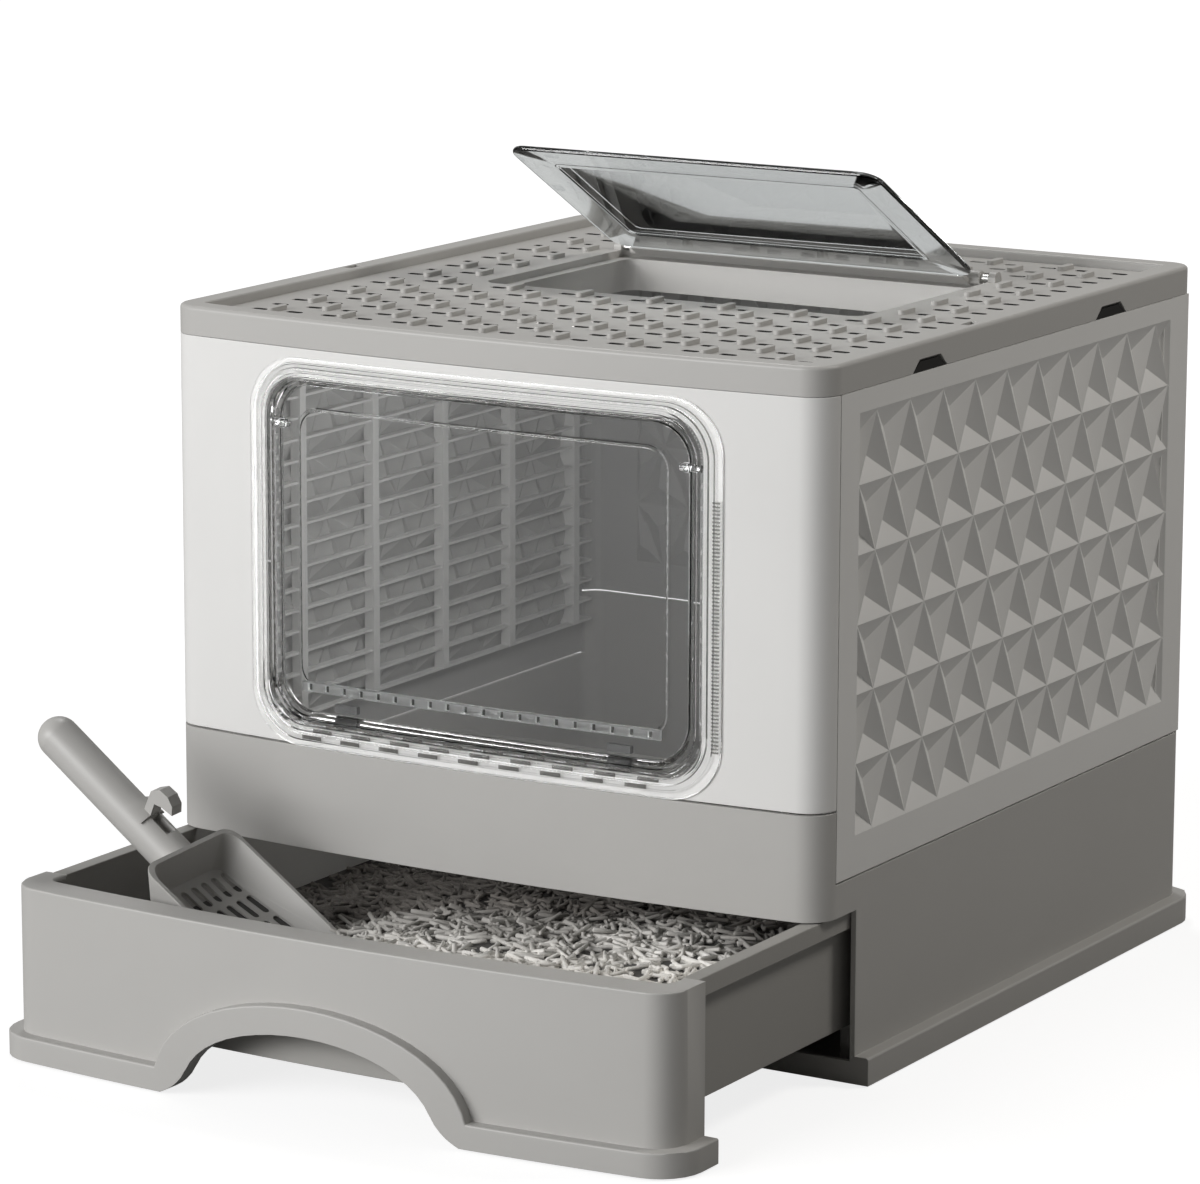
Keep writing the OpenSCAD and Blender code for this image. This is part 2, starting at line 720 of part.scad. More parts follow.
module hatch_flap() color(smoke) hatch_place()
    difference() {
        union() {
            translate([0, -(bar_l + seam / 2 + flap_l) / 2, flap_top - flap_t])
                linear_extrude(flap_t) rrect(flap_w, flap_l - bar_l - seam / 2, 11);
            translate([0, -(bar_l + flap_l) / 2, flap_top - eps])
                linear_extrude(0.8) difference() {
                    rrect(flap_w - 40, flap_l - bar_l - 40, 6);
                    rrect(flap_w - 44, flap_l - bar_l - 44, 4);
                }
        }
        translate([0, -(bar_l + flap_l) / 2, flap_top - flap_t - 0.1])
            linear_extrude(0.9) rrect(flap_w - 44, flap_l - bar_l - 44, 4);
    }

// ---- drawer ---------------------------------------------------------------

module drawer_front() color(grey)
    difference() {
        union() {
            // bowed face and side returns
            translate([0, 0, drawer_lift]) linear_extrude(drawer_h - drawer_lift) difference() {
                front_zone() drawer_outline(half_w, 0, 0);
                drawer_outline(half_w - drawer_t, drawer_t, 1);
            }
            // flat rim along the front
            translate([0, 0, rim_z]) linear_extrude(web_t) difference() {
                front_zone() drawer_outline(half_w, 0, 0);
                drawer_outline(drawer_half_w - side_rim_w, front_rim_w, 1);
            }
            // skirt, and the band that follows the arch
            translate([0, 0, drawer_lift]) intersection() {
                linear_extrude(drawer_h) difference() {
                    front_zone() drawer_outline(half_w + skirt_out, -skirt_out + 1, 0);
                    drawer_outline(half_w - 1, 1, 1);
                }
                rotate([90, 0, 0]) linear_extrude(big) band_shape();
            }
        }
        translate([0, 0, drawer_lift]) rotate([90, 0, 0]) linear_extrude(big)
            arch_shape(arch_half_w, arch_h);
    }

module front_zone() intersection() {
    children();
    translate([-big / 2, drawer_front_y - 50]) square([big, 50 + return_d]);
}

// A half sine between two upright feet
module arch_shape(hw, h)
    polygon(concat([[arch_x + hw, -1], [arch_x - hw, -1]],
                   [for (i = [0 : 24]) let (a = 180 * i / 24)
                       [arch_x - hw * cos(a), h * pow(sin(a), 0.85)]]));

module band_shape() {
    translate([-big / 2, 0]) square([big, skirt_h - 2]);
    arch_shape(arch_half_w + arch_band + 4, arch_h + arch_band);
}

module drawer_tub() color(grey)
    difference() {
        union() {
            translate([0, 0, tub_z]) linear_extrude(rim_z - tub_z)
                drawer_outline(tub_half_w, tub_front_in, tub_rear_y);
            // the front wall hangs lower
            translate([0, 0, tub_z - grip_lip]) linear_extrude(grip_lip + 1) intersection() {
                difference() {
                    drawer_outline(tub_half_w, tub_front_in, tub_rear_y);
                    drawer_outline(tub_half_w - drawer_t, tub_front_in + drawer_t, tub_rear_y - drawer_t);
                }
                translate([-tub_half_w + 20, drawer_front_y]) square([2 * tub_half_w - 40, 60]);
            }
            // rim round the sides and the rear, behind the drawer's front
            translate([0, 0, drawer_h - lip_h]) linear_extrude(lip_h) intersection() {
                drawer_outline(drawer_half_w, 0, tub_rear_y + 4);
                translate([-big / 2, return_y + seam]) square([big, big]);
            }
        }
        translate([0, 0, litter_z]) linear_extrude(drawer_h) tub_inside();
        // undercut of the lip
        translate([0, 0, drawer_h - lip_h - 1]) linear_extrude(lip_h + 1 - web_t) difference() {
            drawer_outline(drawer_half_w - web_t, 0, tub_rear_y + 4 - web_t);
            drawer_outline(tub_half_w, 0, tub_rear_y);
        }
    }

module tub_inside()
    drawer_outline(drawer_half_w - side_rim_w, front_rim_w, tub_rear_y - drawer_t);

module litter() color(straw)
    intersection() {
        difference() {
            union() {
                litter_bed();
                scoop_heap();
            }
            scoop_pocket();
        }
        linear_extrude(body_h) litter_room();
    }

// The bed, banked down to the left
module litter_bed()
    translate([0, big / 2, 0]) rotate([90, 0, 0]) linear_extrude(big)
        polygon(concat([[-half_w, litter_z + litter_clear], [half_w, litter_z + litter_clear]],
                       [for (b = bed_top) [b[0], litter_top + b[1]]],
                       [for (b = bed_toe) [b[0], litter_z + b[1]]]));

// The tub's inside with a little clearance all round
module litter_room()
    drawer_outline(drawer_half_w - side_rim_w - litter_clear, front_rim_w + litter_clear,
                   tub_rear_y - drawer_t - litter_clear);

// ---- scoop ----------------------------------------------------------------

module scoop_place() translate(scoop_at) rotate([0, scoop_tilt, 0]) rotate([scoop_roll, 0, 0]) children();

// Litter pushed up under the scoop's pan
module scoop_heap()
    difference() {
        scoop_place() translate([heap_from, -pan_w / 2 + 6, -heap_d])
            cube([pan_l - heap_from, pan_w - 12, heap_d]);
        translate([-big / 2, -big, -big]) cube([big, 2 * big, big + litter_z + litter_clear]);
    }

// Room for the pan, open at the top so that the scoop can be lifted out
module scoop_pocket()
    hull() for (up = [0, 25]) translate([0, 0, up]) scoop_place() pan_body(fit_clear);

// Solid shape of the pan, grown by g
module pan_body(g = 0)
    hull() {
        for (s = [-1, 1]) {
            translate([pan_corner - g, s * (pan_w / 2 - pan_corner + g), -1])
                cylinder(r = pan_corner, h = 1 + g, $fn = scoop_fn);
            translate([pan_corner + pan_draft - g, s * (pan_w / 2 - pan_corner - pan_draft + g), -pan_d - g])
                cylinder(r = pan_corner - 2, h = 1, $fn = scoop_fn);
            translate([pan_l - 6 + g, s * (pan_w / 2 - 6 + g), -2]) cylinder(r = 6, h = 2 + g, $fn = scoop_fn);
            translate([pan_l - 10 + g, s * (pan_w / 2 - 12 + g), -tip_d - g]) cylinder(r = 6, h = 1, $fn = scoop_fn);
        }
    }

module scoop() color(grey) scoop_place()
    difference() {
        union() {
            pan_body();
            handle();
        }
        // inside, open at the tip
        translate([pan_t, 0, pan_t])
            scale([(pan_l + open_tip) / pan_l, (pan_w - 2 * pan_t) / pan_w, 1]) pan_body();
        for (i = [0 : 2], j = [-3 : 3])
            translate([22 + 19 * i, j * 8.2, -pan_d - 2]) linear_extrude(pan_d) stadium(slot_size[0], slot_size[1]);
        handle_place() translate([-hook_at + fit_clear, -hook_hole[1] / 2, handle_r - hook_hole[2]]) cube(hook_hole);
    }

// The handle leaves the pan's back a little steeper than the rim
module handle_place()
    translate([0, 0, -handle_drop]) rotate([0, handle_tilt, 0]) children();

module handle() handle_place() {
    rotate([0, -90, 0]) translate([0, 0, -8]) cylinder(r = handle_r, h = handle_l - handle_r + 8, $fn = 48);
    translate([-(handle_l - handle_r), 0, 0]) sphere(handle_r, $fn = 48);
}

// A hook with a beak, on a saddle that lies on the handle
module scoop_hook() color(grey) scoop_place() handle_place() translate([-hook_at, 0, 0]) {
    intersection() {
        translate([-hook_l, 0, 0]) rotate([0, 90, 0]) difference() {
            cylinder(r = handle_r + hook_t, h = hook_l, $fn = 48);
            translate([0, 0, -1]) cylinder(r = handle_r + pin_clear, h = hook_l + 2, $fn = 48);
        }
        translate([-big / 2, -big / 2, handle_r * saddle_rise]) cube(big);
    }
    translate([0, 0, handle_r + hook_t]) rotate([90, 0, 0]) linear_extrude(hook_w, center = true)
        polygon(hook_outline);
}

// ---- the whole object -----------------------------------------------------

base();
drawer_rails();
front_panel();
left_panel();
right_panel();
rear_panel();
window_frame();
frame_magnets();
lid_catches();
lid();
hatch_pins();
hatch_bar();
hatch_flap();
door_pane();
door_pins();
door_magnets();
drawer_front();
drawer_tub();
litter();
scoop();
scoop_hook();
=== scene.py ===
# %% [markdown]
# A litter box with a pull-out drawer. It is a family of moulded plastic parts: grey base,
# drawer, lid and scoop, white covers with a relief, and a clear window and hatch. The packed
# model gives every part its place and its size. This script adds what a mould and a finish
# add: rounded edges, grain, clear plastic, ribs and a drawer of loose litter sticks.

# %% Frame
import json
import math
import random

import bmesh
import bpy
from mathutils import Matrix, Vector

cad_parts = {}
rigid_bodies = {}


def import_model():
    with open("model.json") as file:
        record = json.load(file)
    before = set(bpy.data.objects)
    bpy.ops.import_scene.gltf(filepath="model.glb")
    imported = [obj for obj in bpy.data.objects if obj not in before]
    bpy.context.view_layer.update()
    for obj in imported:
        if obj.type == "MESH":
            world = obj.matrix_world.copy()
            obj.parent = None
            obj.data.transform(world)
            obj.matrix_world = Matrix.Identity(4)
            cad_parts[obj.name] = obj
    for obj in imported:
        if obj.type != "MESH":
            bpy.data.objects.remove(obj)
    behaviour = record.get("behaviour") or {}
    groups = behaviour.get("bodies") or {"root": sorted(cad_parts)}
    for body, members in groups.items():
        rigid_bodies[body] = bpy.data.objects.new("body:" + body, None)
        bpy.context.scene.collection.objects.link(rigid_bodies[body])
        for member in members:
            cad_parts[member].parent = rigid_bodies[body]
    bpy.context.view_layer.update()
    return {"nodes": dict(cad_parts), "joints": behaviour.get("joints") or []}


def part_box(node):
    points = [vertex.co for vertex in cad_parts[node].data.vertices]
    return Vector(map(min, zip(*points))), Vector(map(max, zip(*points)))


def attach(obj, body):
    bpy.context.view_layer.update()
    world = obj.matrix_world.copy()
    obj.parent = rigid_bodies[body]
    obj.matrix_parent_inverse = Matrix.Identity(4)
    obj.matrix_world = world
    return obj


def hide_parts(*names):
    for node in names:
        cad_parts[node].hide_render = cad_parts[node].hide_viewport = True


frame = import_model()
nodes = frame["nodes"]

MM = 0.001      # everything is in metres, and sizes are written in millimetres

# %% [markdown]
# The camera comes first, because everything is judged through it. It stands about three
# metres away with a long lens, so that upright edges stay nearly parallel. Its place and the
# three angles through which it is turned from looking straight down give its matrix.

# %% Camera
CAMERA_PLACE = Vector((1.4683, -2.5201, 0.810))
CAMERA_TURN, CAMERA_DIP, CAMERA_ROLL = math.radians(31.24), math.radians(11.71), math.radians(0.15)

camera_data = bpy.data.cameras.new("camera")
camera_data.sensor_width = 36
camera_data.lens = 161.7
camera_data.clip_start = 0.1
camera_data.clip_end = 50
camera = bpy.data.objects.new("camera", camera_data)
bpy.context.scene.collection.objects.link(camera)
camera.matrix_world = (
    Matrix.Translation(CAMERA_PLACE)
    @ Matrix.Rotation(CAMERA_TURN, 4, "Z")
    @ Matrix.Rotation(math.pi / 2 - CAMERA_DIP, 4, "X")
    @ Matrix.Rotation(CAMERA_ROLL, 4, "Z")
)
bpy.context.scene.camera = camera
print("camera:", round(CAMERA_PLACE.length, 2), "m from the middle of the floor")


# %% [markdown]
# Materials are built from nodes. Long chains of Math nodes are hard to read, so a small class
# wraps a socket and lets an ordinary expression such as 1 - mask * 0.5 add the nodes.

# %% Socket maths
class Value:
    """An output of a node, on which + - * and / add Math nodes."""

    def __init__(self, tree, socket):
        self.tree = tree
        self.socket = socket

    def beside(self, name):
        """Another output of the same node."""
        return Value(self.tree, self.socket.node.outputs[name])

    def maths(self, operation, first, second):
        return self.tree.node("ShaderNodeMath", {"operation": operation}, {0: first, 1: second})

    def larger(self, other):
        return self.maths("MAXIMUM", self, other)

    def __add__(self, other):
        return self.maths("ADD", self, other)

    def __radd__(self, other):
        return self.maths("ADD", other, self)

    def __sub__(self, other):
        return self.maths("SUBTRACT", self, other)

    def __rsub__(self, other):
        return self.maths("SUBTRACT", other, self)

    def __mul__(self, other):
        return self.maths("MULTIPLY", self, other)

    def __rmul__(self, other):
        return self.maths("MULTIPLY", other, self)

    def __truediv__(self, other):
        return self.maths("DIVIDE", self, other)

    def __rtruediv__(self, other):
        return self.maths("DIVIDE", other, self)


# %% [markdown]
# Any other node comes from one method of the tree that holds it, which is a material's or the
# world's. It takes the node's type, its settings and the values or links of its sockets.

# %% Node trees
class Tree:
    """The nodes of a material or of the world."""

    def __init__(self, owner):
        owner.use_nodes = True
        self.nodes = owner.node_tree.nodes
        self.links = owner.node_tree.links
        self.nodes.clear()

    def join(self, socket, value):
        """Links a socket to a value's node, or sets it to a constant."""
        if isinstance(value, Value):
            self.links.new(value.socket, socket)
        else:
            socket.default_value = value

    def node(self, kind, settings, inputs, result=0):
        """Adds a node: its settings first, then the values or links of its sockets."""
        made = self.nodes.new(kind)
        for name, value in settings.items():
            if name == "stops":
                ramp = made.color_ramp.elements
                while len(ramp) < len(value):
                    ramp.new(0.5)
                for stop, (at, colour) in zip(ramp, value):
                    stop.position = at
                    stop.color = colour
            else:
                setattr(made, name, value)
        for key, value in inputs.items():
            self.join(made.inputs[key], value)
        return Value(self, made.outputs[result])

    def blend(self, amount, first, second):
        return self.node("ShaderNodeMix", {"data_type": "RGBA"}, {0: amount, 6: first, 7: second}, 2)


class Finish(Tree):
    """A material with one Principled shader, whose patterns lie in Object coordinates."""

    def __init__(self, name):
        self.material = bpy.data.materials.new(name)
        super().__init__(self.material)
        output = self.nodes.new("ShaderNodeOutputMaterial")
        self.shader = self.nodes.new("ShaderNodeBsdfPrincipled")
        self.links.new(self.shader.outputs[0], output.inputs[0])
        self.place = self.node("ShaderNodeTexCoord", {}, {}, "Object")
        print("finish:", name)

    def set(self, **values):
        for name, value in values.items():
            self.join(self.shader.inputs[name.replace("_", " ")], value)

    def noise(self, scale, detail=2.0, roughness=0.5, at=None):
        return self.node("ShaderNodeTexNoise", {},
                         {"Vector": at or self.place, "Scale": scale, "Detail": detail,
                          "Roughness": roughness}, "Fac")

    def bump(self, height, strength, distance):
        return self.node("ShaderNodeBump", {},
                         {"Strength": strength, "Distance": distance, "Height": height}, "Normal")


# %% [markdown]
# Moulded plastic is never one flat colour. Its surface copies the mould's fine spark-eroded
# grain, it is a little shinier where hands and packing have rubbed it, and the pigment
# varies by a percent or two. One function makes every opaque plastic here. A darker white
# on the covers' inner sides is painted shade. Black plastic serves the catches, and also the
# far walls of the slots, where it is painted shade.

# %% Moulded plastic
def moulded_plastic(name, colour, roughness, grain=0.10, grain_size=0.7, specular=0.5):
    """An opaque plastic. The grain has a strength, and a size in millimetres."""
    f = Finish(name)
    fine = f.noise(1 / (grain_size * MM), 3.0, 0.6)
    cloudy = f.noise(9.0, 4.0, 0.55)
    broad = f.noise(34.0, 2.0, 0.5)
    darker = tuple(c * 0.965 for c in colour) + (1,)
    lighter = tuple(min(1.0, c * 1.025) for c in colour) + (1,)
    f.set(Base_Color=f.blend(cloudy, darker, lighter),
          Roughness=roughness + (cloudy - 0.5) * 0.10 + (broad - 0.5) * 0.06,
          Specular_IOR_Level=specular,
          Normal=f.bump(fine + broad * 0.35, grain, 0.12 * MM))
    return f.material


grey_plastic = moulded_plastic("grey_plastic", (0.468, 0.460, 0.444), 0.46, specular=0.6)
coarse_grey = moulded_plastic("textured_grey_plastic", (0.36, 0.352, 0.335), 0.55, 0.35, 1.1, 0.25)
white_plastic = moulded_plastic("white_plastic", (0.78, 0.775, 0.762), 0.40, 0.06)
# The covers' inner sides get this darker white. It is painted shade for the dim cabin, not the plastic's own
# colour.
painted_shade_white = moulded_plastic("white_plastic_painted_shade", (0.43, 0.427, 0.418), 0.55, specular=0.3)
# Black plastic for the catches. The same black on the drain slots' far walls is painted shade.
dark_plastic = moulded_plastic("dark_plastic", (0.014, 0.013, 0.012), 0.6, specular=0.2)


# %% [markdown]
# The window and the hatch are clear polystyrene. They are real transparent solids, so light
# bends in the stepped ring. The steep walls of its steps look dark from the front, where they
# bend the view into the cabin, and a dark plastic of their own paints that shade on. The
# grip strip is frosted. The ring's fine ribs are slightly grey, and that grey is painted shade too.

# %% Clear plastic
def clear_plastic(name, colour, roughness, wave):
    """A plastic that light passes through, with a slow wave in its surface."""
    f = Finish(name)
    f.set(Base_Color=colour + (1,), Roughness=roughness, IOR=1.5, Transmission_Weight=1.0,
          Normal=f.bump(f.noise(22.0, 1.0), wave, 0.3 * MM))
    return f.material


clear = clear_plastic("clear_plastic", (0.985, 0.99, 0.987), 0.015, 0.07)
smoked = clear_plastic("smoked_plastic", (0.60, 0.62, 0.62), 0.03, 0.10)
ring_clear = clear_plastic("ring_plastic", (1.0, 1.0, 1.0), 0.015, 0.05)
# Painted shade: a dark clear plastic for the steep step walls of the ring and for the grip's pockets.
painted_shade_clear = clear_plastic("dark_clear_painted_shade", (0.13, 0.13, 0.125), 0.10, 0.05)
# The grey of the ring's comb and blocks is painted shade.
ribs_painted_shade = clear_plastic("grey_ribs_painted_shade", (0.46, 0.455, 0.44), 0.20, 0.05)
frosted = clear_plastic("frosted_plastic", (0.97, 0.98, 0.975), 0.38, 0.05)


# %% [markdown]
# The hatch turns on steel pins, and magnets with a nickel skin hold the door in the middle.
# Drawn steel has scratches along its length, which a stretched noise gives.

# %% Steel
def plain_steel(name, colour):
    f = Finish(name)
    stretched = f.node("ShaderNodeMapping", {}, {"Vector": f.place, "Scale": (4.0, 1.0, 1.0)})
    scratches = f.noise(900.0, 3.0, 0.6, stretched)
    f.set(Base_Color=colour + (1,), Metallic=1.0, Roughness=0.25 + scratches * 0.15,
          Normal=f.bump(scratches, 0.08, 0.05 * MM))
    return f.material


steel = plain_steel("plain_steel", (0.62, 0.62, 0.61))
nickel = plain_steel("nickel_steel", (0.07, 0.07, 0.07))

# %% [markdown]
# Litter sticks are pale to the front and to the right, and nearly black to the rear and to the
# left, with a ragged border between. The dark part is a painted shadow. Each side is a ramp of
# three tones over the wood's grain. The bed under the sticks has the same colours at a sixth
# of their level, as painted shade in the gaps between them.

# %% Litter colour
# The dark litter, which the comments below call damp, is a painted shadow, not wet wood.
LIT_TONES = ((0.30, (0.52, 0.50, 0.47)), (0.50, (0.86, 0.84, 0.80)), (0.72, (0.97, 0.95, 0.92)))
SHADED_TONES = ((0.30, (0.06, 0.055, 0.05)), (0.52, (0.12, 0.11, 0.10)), (0.75, (0.20, 0.185, 0.168)))
PAINTED_SHADOW_REACH = 0.300                  # how far the damp comes forward in the middle, in metres
PAINTED_SHADOW_BORDER, PAINTED_SHADOW_LEAN, PAINTED_SHADOW_RAGGED = 11.0, 3.2, 1.2    # how sharp its border is, how slanting and how ragged


def litter_wood(name, level=1.0):
    """Wood that is pale or dark by its place, the dark part a painted shadow, with its colours scaled by a
    level.
    """
    f = Finish(name)
    fibre = f.noise(700.0, 4.0, 0.65)
    grain = f.noise(60.0, 2.0, 0.6) * 0.7 + fibre * 0.3

    def tones(stops):
        scaled = [(at, tuple(c * level for c in colour) + (1,)) for at, colour in stops]
        return f.node("ShaderNodeValToRGB", {"stops": scaled}, {0: grain}, "Color")

    across = f.node("ShaderNodeSeparateXYZ", {}, {0: f.place}, "X")
    ragged = (f.noise(14.0, 2.0) - 0.5) * PAINTED_SHADOW_RAGGED
    # The share of painted shadow grows to the rear and to the left, with a ragged border.
    painted_shadow = (across.beside("Y") + PAINTED_SHADOW_REACH) * PAINTED_SHADOW_BORDER - across * PAINTED_SHADOW_LEAN + ragged
    share = f.node("ShaderNodeClamp", {}, {"Value": painted_shadow})
    f.set(Base_Color=f.blend(share, tones(LIT_TONES), tones(SHADED_TONES)), Roughness=0.85,
          Normal=f.bump(fibre, 0.35, 0.25 * MM))
    return f.material


stick_wood = litter_wood("litter_stick")
# The bed's colours at a sixth of the level are painted shade for the gaps between the sticks.
bed_painted_shade = litter_wood("litter_bed", 0.16)

# %% [markdown]
# Every moulded edge has a small radius, and it is the radius that catches the light. The
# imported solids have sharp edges, so a copy of each is merged into clean faces and its
# edges are bevelled. A modifier with live settings could do it too, but an operator can take
# a list of edges, and here the edges that get a larger radius are picked by where they lie.

# %% Edges and pieces
SAME_PLACE, SAME_PLANE = 0.004 * MM, math.radians(0.05)
ALL_EDGES, RELIEF_EDGES, SPECIAL_EDGES, OTHER_EDGES = 30, 12, 50, 40     # least angle of an edge, in degrees
SMOOTH_PLAIN, SMOOTH_RELIEF, SMOOTH_CLEAR, SMOOTH_STICK = 50, 22, 20, 60  # largest angle shaded smooth


def new_piece(name, bm, material, smooth_angle):
    """An object from a bmesh, shaded smooth up to an angle in degrees."""
    mesh = bpy.data.meshes.new(name)
    bm.to_mesh(mesh)
    bm.free()
    mesh.materials.append(material)
    mesh.shade_smooth()
    mesh.set_sharp_from_angle(angle=math.radians(smooth_angle))
    piece = bpy.data.objects.new(name, mesh)
    bpy.context.scene.collection.objects.link(piece)
    return piece


def merged_copy(node):
    """A copy of a solid's mesh, with its loose triangles joined into whole faces."""
    bm = bmesh.new()
    bm.from_mesh(nodes[node].data)
    bmesh.ops.remove_doubles(bm, verts=bm.verts, dist=SAME_PLACE)
    bmesh.ops.dissolve_limit(bm, angle_limit=SAME_PLANE, verts=bm.verts, edges=bm.edges,
                             use_dissolve_boundaries=False)
    return bm


def sharp_edges(bm, angle, test=None):
    """The edges at which two faces meet at more than an angle, and that pass a test."""
    return [e for e in bm.edges
            if len(e.link_faces) == 2 and e.calc_face_angle(0) > math.radians(angle)
            and (test is None or test(e))]


def round_edges(bm, edges, radius, segments=2):
    """Gives edges a radius. Where there is no room for it, the operator makes it smaller."""
    bmesh.ops.bevel(bm, geom=edges, offset=radius, offset_type="OFFSET", segments=segments,
                    profile=0.5, affect="EDGES", clamp_overlap=True, material=-1)


def even_shading(piece):
    """Lets the large flat faces decide the shading, so that only the bevels look round."""
    weighted = piece.modifiers.new("even_shading", "WEIGHTED_NORMAL")
    weighted.keep_sharp = True


def both_ends(test):
    """A test of an edge that holds where both its ends pass a test of a place."""
    return lambda edge: all(test(v.co) for v in edge.verts)


# %% [markdown]
# The rounded copy then stands for the solid, which stays in the frame as the moving part. One
# function makes it, gives it to its body and gives it its finish.

# %% Rounded copies of the solids
def rounded_solid(node, name, material, radius, body, relief=False, special=(), reshape=None,
                  inside=None):
    """Makes the copy that stands for a solid, with all its edges rounded.

    special lists tests of edges, each with its own radius and segments, which are rounded
    first. reshape changes the copy before that. inside is a test of a face, with the finish
    of the faces that pass it, which here is always a darker one painted on as shade.
    """
    bm = merged_copy(node)
    if reshape:
        reshape(bm)
    count = len(bm.faces)
    for test, own_radius, own_segments in special:
        edges = sharp_edges(bm, SPECIAL_EDGES, test)
        round_edges(bm, edges, own_radius, own_segments)
        print(name, ": rounded", len(edges), "edges by", round(own_radius / MM, 2), "mm")
    edges = sharp_edges(bm, RELIEF_EDGES if relief else OTHER_EDGES if special else ALL_EDGES)
    round_edges(bm, edges, radius)
    if inside:
        for face in filter(inside[0], bm.faces):
            face.material_index = 1
    piece = new_piece(name, bm, material, SMOOTH_RELIEF if relief else SMOOTH_PLAIN)
    if inside:
        piece.data.materials.append(inside[1])
    even_shading(piece)
    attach(piece, body)
    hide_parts(node)
    print(name, ":", count, "faces,", len(edges), "edges rounded,", len(piece.data.polygons), "faces after")


# %% [markdown]
# The lid's outline is the outline of the whole body: straight sides, and a front that bows
# out along a large circle. Every place near the front is counted from that bow.

# %% Outline of the body
lid_low, lid_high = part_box("lid")
HALF_WIDTH, FRONT_Y, REAR_Y = lid_high.x, lid_low.y, lid_high.y
BOW_RADIUS = 1900 * MM
NEAR = 0.05 * MM                    # heights that differ by less are the same


def bow(x):
    """How far the bowed front falls back at x."""
    return BOW_RADIUS - math.sqrt(BOW_RADIUS ** 2 - x * x)


def near_outline(p, distance):
    """Whether a place is nearer than a distance to the body's outline."""
    return abs(p.x) > HALF_WIDTH - distance or p.y < FRONT_Y + bow(p.x) + distance or p.y > REAR_Y - distance


def edges_at(height, test=lambda p: True):
    """A test of an edge that lies at a height, where both its ends pass a test of a place."""
    return both_ends(lambda p: abs(p.z - height) < NEAR and test(p))


print("body:", round(2 * HALF_WIDTH / MM), "mm wide,", round((REAR_Y - FRONT_Y) / MM), "mm deep")

# %% [markdown]
# The base has a broad skirt at its foot. The skirt's outer edge is rounded like a bullnose,
# with 3 mm, and it is found by its height and by standing out beyond the walls.

# %% Base
SKIRT_TOP, SKIRT_EDGE = 15 * MM, 3.0 * MM
SKIRT_SIDE, SKIRT_REAR = HALF_WIDTH + 4 * MM, REAR_Y + 3 * MM            # half-way out over the skirt
skirt_edges = edges_at(SKIRT_TOP, lambda p: abs(p.x) > SKIRT_SIDE or p.y > SKIRT_REAR)
rounded_solid("base", "base_moulding", grey_plastic, radius=0.8 * MM, body="housing",
              special=((skirt_edges, SKIRT_EDGE, 4),))

# %% [markdown]
# Four white covers stand on the base. A real joint between two mouldings is never closed, and
# the gap shows as a thin dark line, so the foot of each cover is lifted a little. The sides
# and the rear carry a relief with shallow angles. Their inner sides get a duller, darker white,
# which is painted shade.

# %% White covers
SHADOW_GAP, FOOT_BAND = 0.7 * MM, 0.3 * MM
OUTER_SKIN = 1.5 * MM               # faces this close to the outer side belong to the relief


def lift_foot(bm):
    """Opens a shadow gap under a cover, where it meets the base."""
    foot = min(v.co.z for v in bm.verts)
    for v in bm.verts:
        if v.co.z < foot + FOOT_BAND:
            v.co.z += SHADOW_GAP


def cabin_side(inward, outer):
    """A test of a cover's face: it looks inward, and isn't part of the skin at outer."""
    return lambda face: (face.normal.dot(inward) > 0.3
                         and face.calc_center_median().dot(inward) > OUTER_SKIN - outer)


rounded_solid("front_panel", "front_cover", white_plastic, radius=0.5 * MM, body="housing",
              reshape=lift_foot)
# The inner faces of the side and rear covers get the darker white, which is painted shade.
for side, inward, outer in (("left", Vector((1, 0, 0)), HALF_WIDTH),
                            ("right", Vector((-1, 0, 0)), HALF_WIDTH),
                            ("rear", Vector((0, -1, 0)), REAR_Y)):
    rounded_solid(side + "_panel", side + "_cover", white_plastic, radius=0.35 * MM, body="housing",
                  relief=True, reshape=lift_foot,
                  inside=(cabin_side(inward, outer), painted_shade_white))

# %% [markdown]
# The lid is a tray: a raised rim round a sunk deck with treads and drain slots. The rim has
# one radius outside and a smaller one inside, and the treads are rounded like half a loaf.
# Only the far wall of each slot is seen. It is painted black, as painted shade for the slot's depth. Its far
# wall is the one that is seen, so that wall is black.

# %% Lid
LID_TOP, DECK_TOP, TREAD_TOP = 378 * MM, 373 * MM, 375.5 * MM
RIM_IN, RIM_EDGE, RIM_INNER_EDGE, TREAD_EDGE = 10 * MM, 2.3 * MM, 1.3 * MM, 2.2 * MM
DECK_EDGE = 18 * MM                 # from the body's outline to the first slots
SLOT_DEPTH = 12 * MM
WELL_HALF, WELL_FRONT = 124 * MM, -40 * MM


def finger_slot(p):
    """At one of the two small notches in the rim, whose edges stay crisp."""
    return abs(abs(p.x) - 193 * MM) < 4 * MM and abs(p.y + 47 * MM) < 8 * MM


def far_slot_wall(face):
    """The far wall of a drain slot: it faces the front, below the deck and beside the well."""
    p = face.calc_center_median()
    in_well = abs(p.x) < WELL_HALF and p.y > WELL_FRONT
    return (face.normal.y < -0.5 and DECK_TOP - SLOT_DEPTH < p.z < DECK_TOP - 0.3 * MM
            and not near_outline(p, DECK_EDGE) and not in_well)


def rim_outer(p):
    """On the outer edge of the rim, but for its notches."""
    return near_outline(p, RIM_IN - 4 * MM) and not finger_slot(p)


def rim_inner(p):
    """On the inner edge of the rim."""
    return near_outline(p, RIM_IN + 6 * MM) and not near_outline(p, RIM_IN)


